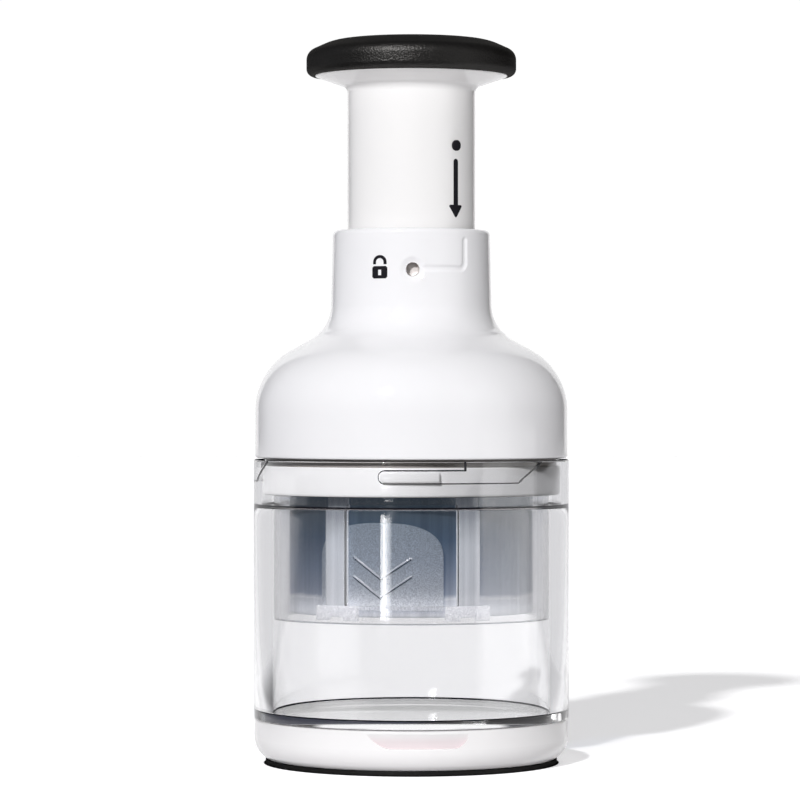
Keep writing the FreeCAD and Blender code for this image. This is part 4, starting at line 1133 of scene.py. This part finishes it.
k.link(f_off.outputs[0], f_turn.inputs[0])
f_turn.inputs[1].default_value = 1.19
k.link(f_sep.outputs["X"], f_turn.inputs[2])
f_right = k.remap(f_turn.outputs[0], 0.0, 0.80, -0.05, 0.15)
f_any = k.new("ShaderNodeMath", operation="MAXIMUM")
k.link(f_in.outputs[0], f_any.inputs[0])
k.link(f_right, f_any.inputs[1])
k.link(f_any.outputs[0], sweep.inputs["Fac"])
k.link(shade.outputs["BSDF"], sweep.inputs[1])
f_flat = k.new("ShaderNodeCombineXYZ")
k.link(f_sep.outputs["X"], f_flat.inputs[0])
k.link(f_off.outputs[0], f_flat.inputs[1])
f_len = k.new("ShaderNodeVectorMath", operation="LENGTH")
k.link(f_flat.outputs[0], f_len.inputs[0])
# painted contact shadow: a near-black ring on the floor just around the foot
painted_contact_shadow = k.new("ShaderNodeBsdfDiffuse")
painted_contact_shadow.inputs["Color"].default_value = (0.004, 0.004, 0.004, 1)
under = k.new("ShaderNodeMixShader")
f_ring = k.new("ShaderNodeMath", operation="MAXIMUM")
k.link(k.remap(f_len.outputs["Value"], 0.0, 1.0, 0.0459, 0.0463), f_ring.inputs[0])
k.link(k.remap(f_len.outputs["Value"], 1.0, 0.0, 0.0438, 0.0444), f_ring.inputs[1])
k.link(f_ring.outputs[0], under.inputs["Fac"])
k.link(painted_contact_shadow.outputs["BSDF"], under.inputs[1])
k.link(add.outputs["Shader"], under.inputs[2])
wing = k.new("ShaderNodeEmission")
wing.inputs["Color"].default_value = (0.70, 0.70, 0.715, 1)
spread = k.new("ShaderNodeMixShader")
k.link(f_wide, spread.inputs["Fac"])
k.link(wing.outputs["Emission"], spread.inputs[1])
k.link(under.outputs["Shader"], spread.inputs[2])
k.link(spread.outputs["Shader"], sweep.inputs[2])
dim = k.new("ShaderNodeBsdfDiffuse")
dim.inputs["Color"].default_value = (FLOOR_DIM, FLOOR_DIM * 0.99, FLOOR_DIM, 1)
lp = k.new("ShaderNodeLightPath")
mx = k.new("ShaderNodeMixShader")
for m_from, m_to in ((f_wide, spread), (f_any.outputs[0], sweep)):
    direct = k.new("ShaderNodeMath", operation="MAXIMUM")
    k.link(m_from, direct.inputs[0])
    k.link(lp.outputs["Is Camera Ray"], direct.inputs[1])
    k.link(direct.outputs[0], m_to.inputs["Fac"])
k.link(lp.outputs["Is Diffuse Ray"], mx.inputs["Fac"])
k.link(sweep.outputs["Shader"], mx.inputs[1])
k.link(dim.outputs["BSDF"], mx.inputs[2])
floor.data.materials.append(k.surface(mx.outputs["Shader"]))


# ------------------------------------------------------------------- lights
def direction(azimuth, elevation):
    """Unit vector to a place seen from the object: azimuth from the front towards the right."""
    a, e = math.radians(azimuth), math.radians(elevation)
    return Vector((math.sin(a) * math.cos(e), -math.cos(a) * math.cos(e), math.sin(e)))


def lamp(name, azimuth, elevation, distance, watts, size, size_y=None, shape="DISK", colour=(1, 1, 1), target=(0, 0, 0.1)):
    d = bpy.data.lights.new(name, "AREA")
    d.shape = shape
    d.size = size
    if size_y:
        d.size_y = size_y
    d.energy = watts
    d.color = colour
    o = bpy.data.objects.new(name, d)
    scene.collection.objects.link(o)
    t = Vector(target)
    o.location = t + direction(azimuth, elevation) * distance
    o.rotation_mode = "QUATERNION"
    o.rotation_quaternion = (t - o.location).to_track_quat("-Z", "Y")
    return o


sun = bpy.data.lights.new("key", "SUN")
sun.energy = KEY
sun.angle = math.radians(2.6)
key = bpy.data.objects.new("key", sun)
scene.collection.objects.link(key)
key.rotation_mode = "QUATERNION"
key.rotation_quaternion = (-direction(-20.3, 31.5)).to_track_quat("-Z", "Y")
tube = nodes["plunger_tube"]
for nm, owner in (("key_rest", key), ("key_tube", None)):
    if owner is None:
        owner = bpy.data.objects.new("key_tube", sun.copy())
        scene.collection.objects.link(owner)
        owner.rotation_mode = "QUATERNION"
        owner.rotation_quaternion = key.rotation_quaternion
        shadows = bpy.data.collections.new("key_tube_shadows")
        shadows.objects.link(housing)
        owner.light_linking.blocker_collection = shadows
    lit = bpy.data.collections.new(nm)
    lit.objects.link(tube)
    owner.light_linking.receiver_collection = lit
    if nm == "key_rest":
        lit.collection_objects[0].light_linking.link_state = "EXCLUDE"
wash = bpy.data.lights.new("wash", "SUN")
wash.energy = 0.60
wash.angle = math.radians(50.0)
front = bpy.data.objects.new("wash", wash)
scene.collection.objects.link(front)
front.rotation_mode = "QUATERNION"
front.rotation_quaternion = (-direction(2.0, 2.0)).to_track_quat("-Z", "Y")
front.visible_glossy = False
front.visible_transmission = False
# fill for the back of the white parts; the front doesn't see it
fill = bpy.data.lights.new("back_fill", "SUN")
fill.energy = 1.15
fill.angle = math.radians(50.0)
rear = bpy.data.objects.new("back_fill", fill)
scene.collection.objects.link(rear)
rear.rotation_mode = "QUATERNION"
rear.rotation_quaternion = (-direction(176.0, 5.0)).to_track_quat("-Z", "Y")
rear.visible_glossy = False
rear.visible_transmission = False
white_parts = bpy.data.collections.new("back_fill_parts")
for ob in (housing, tube, nodes["base_lid"]):
    white_parts.objects.link(ob)
rear.light_linking.receiver_collection = white_parts
strip = lamp("strip", -19.7, 0.0, 0.75, 0.080, 0.044, 0.051, "RECTANGLE", target=(0, 0, 0.0302))
pale_strip = lamp("pale_strip", -16.4, 0.0, 0.75, 0.026, 0.040, 0.051, "RECTANGLE", target=(0, 0, 0.0302))
side = lamp("side", 72.0, 0.0, 0.25, SIDE, 0.218, 0.10, "RECTANGLE", target=(0, 0, 0.052))

# pencil of light that reaches through the round window
spot = bpy.data.lights.new("pencil", "SPOT")
spot.energy = 1.5
spot.spot_size = math.radians(1.0)
spot.spot_blend = 0.25
spot.shadow_soft_size = 0.0002
spot.color = (1.0, 0.94, 0.92)
beam = bpy.data.objects.new("pencil", spot)
scene.collection.objects.link(beam)
hit = Vector((0.00045, -0.0249, 0.15315))
beam.location = hit + direction(-11.0, 13.0) * 0.225
beam.rotation_mode = "QUATERNION"
beam.rotation_quaternion = (hit - beam.location).to_track_quat("-Z", "Y")

world = bpy.data.worlds.new("studio")
scene.world = world
world.use_nodes = True
wt = world.node_tree
wt.nodes.clear()
w_out = wt.nodes.new("ShaderNodeOutputWorld")
w_bg = wt.nodes.new("ShaderNodeBackground")
w_tc = wt.nodes.new("ShaderNodeTexCoord")
w_sep = wt.nodes.new("ShaderNodeSeparateXYZ")
wt.links.new(w_tc.outputs["Generated"], w_sep.inputs[0])
w_at = wt.nodes.new("ShaderNodeMath")
w_at.operation = "ARCTAN2"
wt.links.new(w_sep.outputs["X"], w_at.inputs[0])
wt.links.new(w_sep.outputs["Y"], w_at.inputs[1])
w_mr = wt.nodes.new("ShaderNodeMapRange")
w_mr.inputs["From Min"].default_value = -math.pi
w_mr.inputs["From Max"].default_value = math.pi
wt.links.new(w_at.outputs[0], w_mr.inputs["Value"])
w_az = wt.nodes.new("ShaderNodeValToRGB")
wt.links.new(w_mr.outputs["Result"], w_az.inputs["Fac"])


def az(deg):
    return 0.5 + deg / 360.0


STOPS = [(-180, (0.05, 0.05, 0.05)), (-125, (0.16, 0.165, 0.18)), (-60, (0.37, 0.38, 0.41)), (-46, (0.26, 0.27, 0.29)),
         (-40, (0.06, 0.06, 0.07)), (-28, (0.06, 0.06, 0.07)), (-24, (1.02, 1.02, 1.02)), (24, (1.02, 1.02, 1.02)),
         (28, (0.05, 0.045, 0.04)), (50, (0.06, 0.055, 0.05)), (96, (0.06, 0.055, 0.05)), (110, (0.75, 0.75, 0.75)), (138, (0.75, 0.75, 0.75)), (152, (0.06, 0.06, 0.06)), (180, (0.05, 0.05, 0.05))]
el = w_az.color_ramp.elements
while len(el) > 1:
    el.remove(el[-1])
el[0].position = az(STOPS[0][0])
el[0].color = (*STOPS[0][1], 1)
for deg, c in STOPS[1:]:
    e = el.new(az(deg))
    e.color = (*c, 1)
w_top = wt.nodes.new("ShaderNodeMapRange")
w_top.interpolation_type = "SMOOTHSTEP"
w_top.inputs["From Min"].default_value = 0.42
w_top.inputs["From Max"].default_value = 0.80
wt.links.new(w_sep.outputs["Z"], w_top.inputs["Value"])
w_mix = wt.nodes.new("ShaderNodeMix")
w_mix.data_type = "RGBA"
wt.links.new(w_top.outputs["Result"], w_mix.inputs["Factor"])
wt.links.new(w_az.outputs["Color"], w_mix.inputs[6])
w_mix.inputs[7].default_value = (*TOP, 1)
w_lp = wt.nodes.new("ShaderNodeLightPath")
w_plain = wt.nodes.new("ShaderNodeMix")
w_plain.data_type = "RGBA"
wt.links.new(w_lp.outputs["Is Camera Ray"], w_plain.inputs["Factor"])
wt.links.new(w_mix.outputs[2], w_plain.inputs[6])
w_plain.inputs[7].default_value = (1.02, 1.02, 1.02, 1)
wt.links.new(w_plain.outputs[2], w_bg.inputs["Color"])
w_bg.inputs["Strength"].default_value = 1.0
wt.links.new(w_bg.outputs[0], w_out.inputs["Surface"])
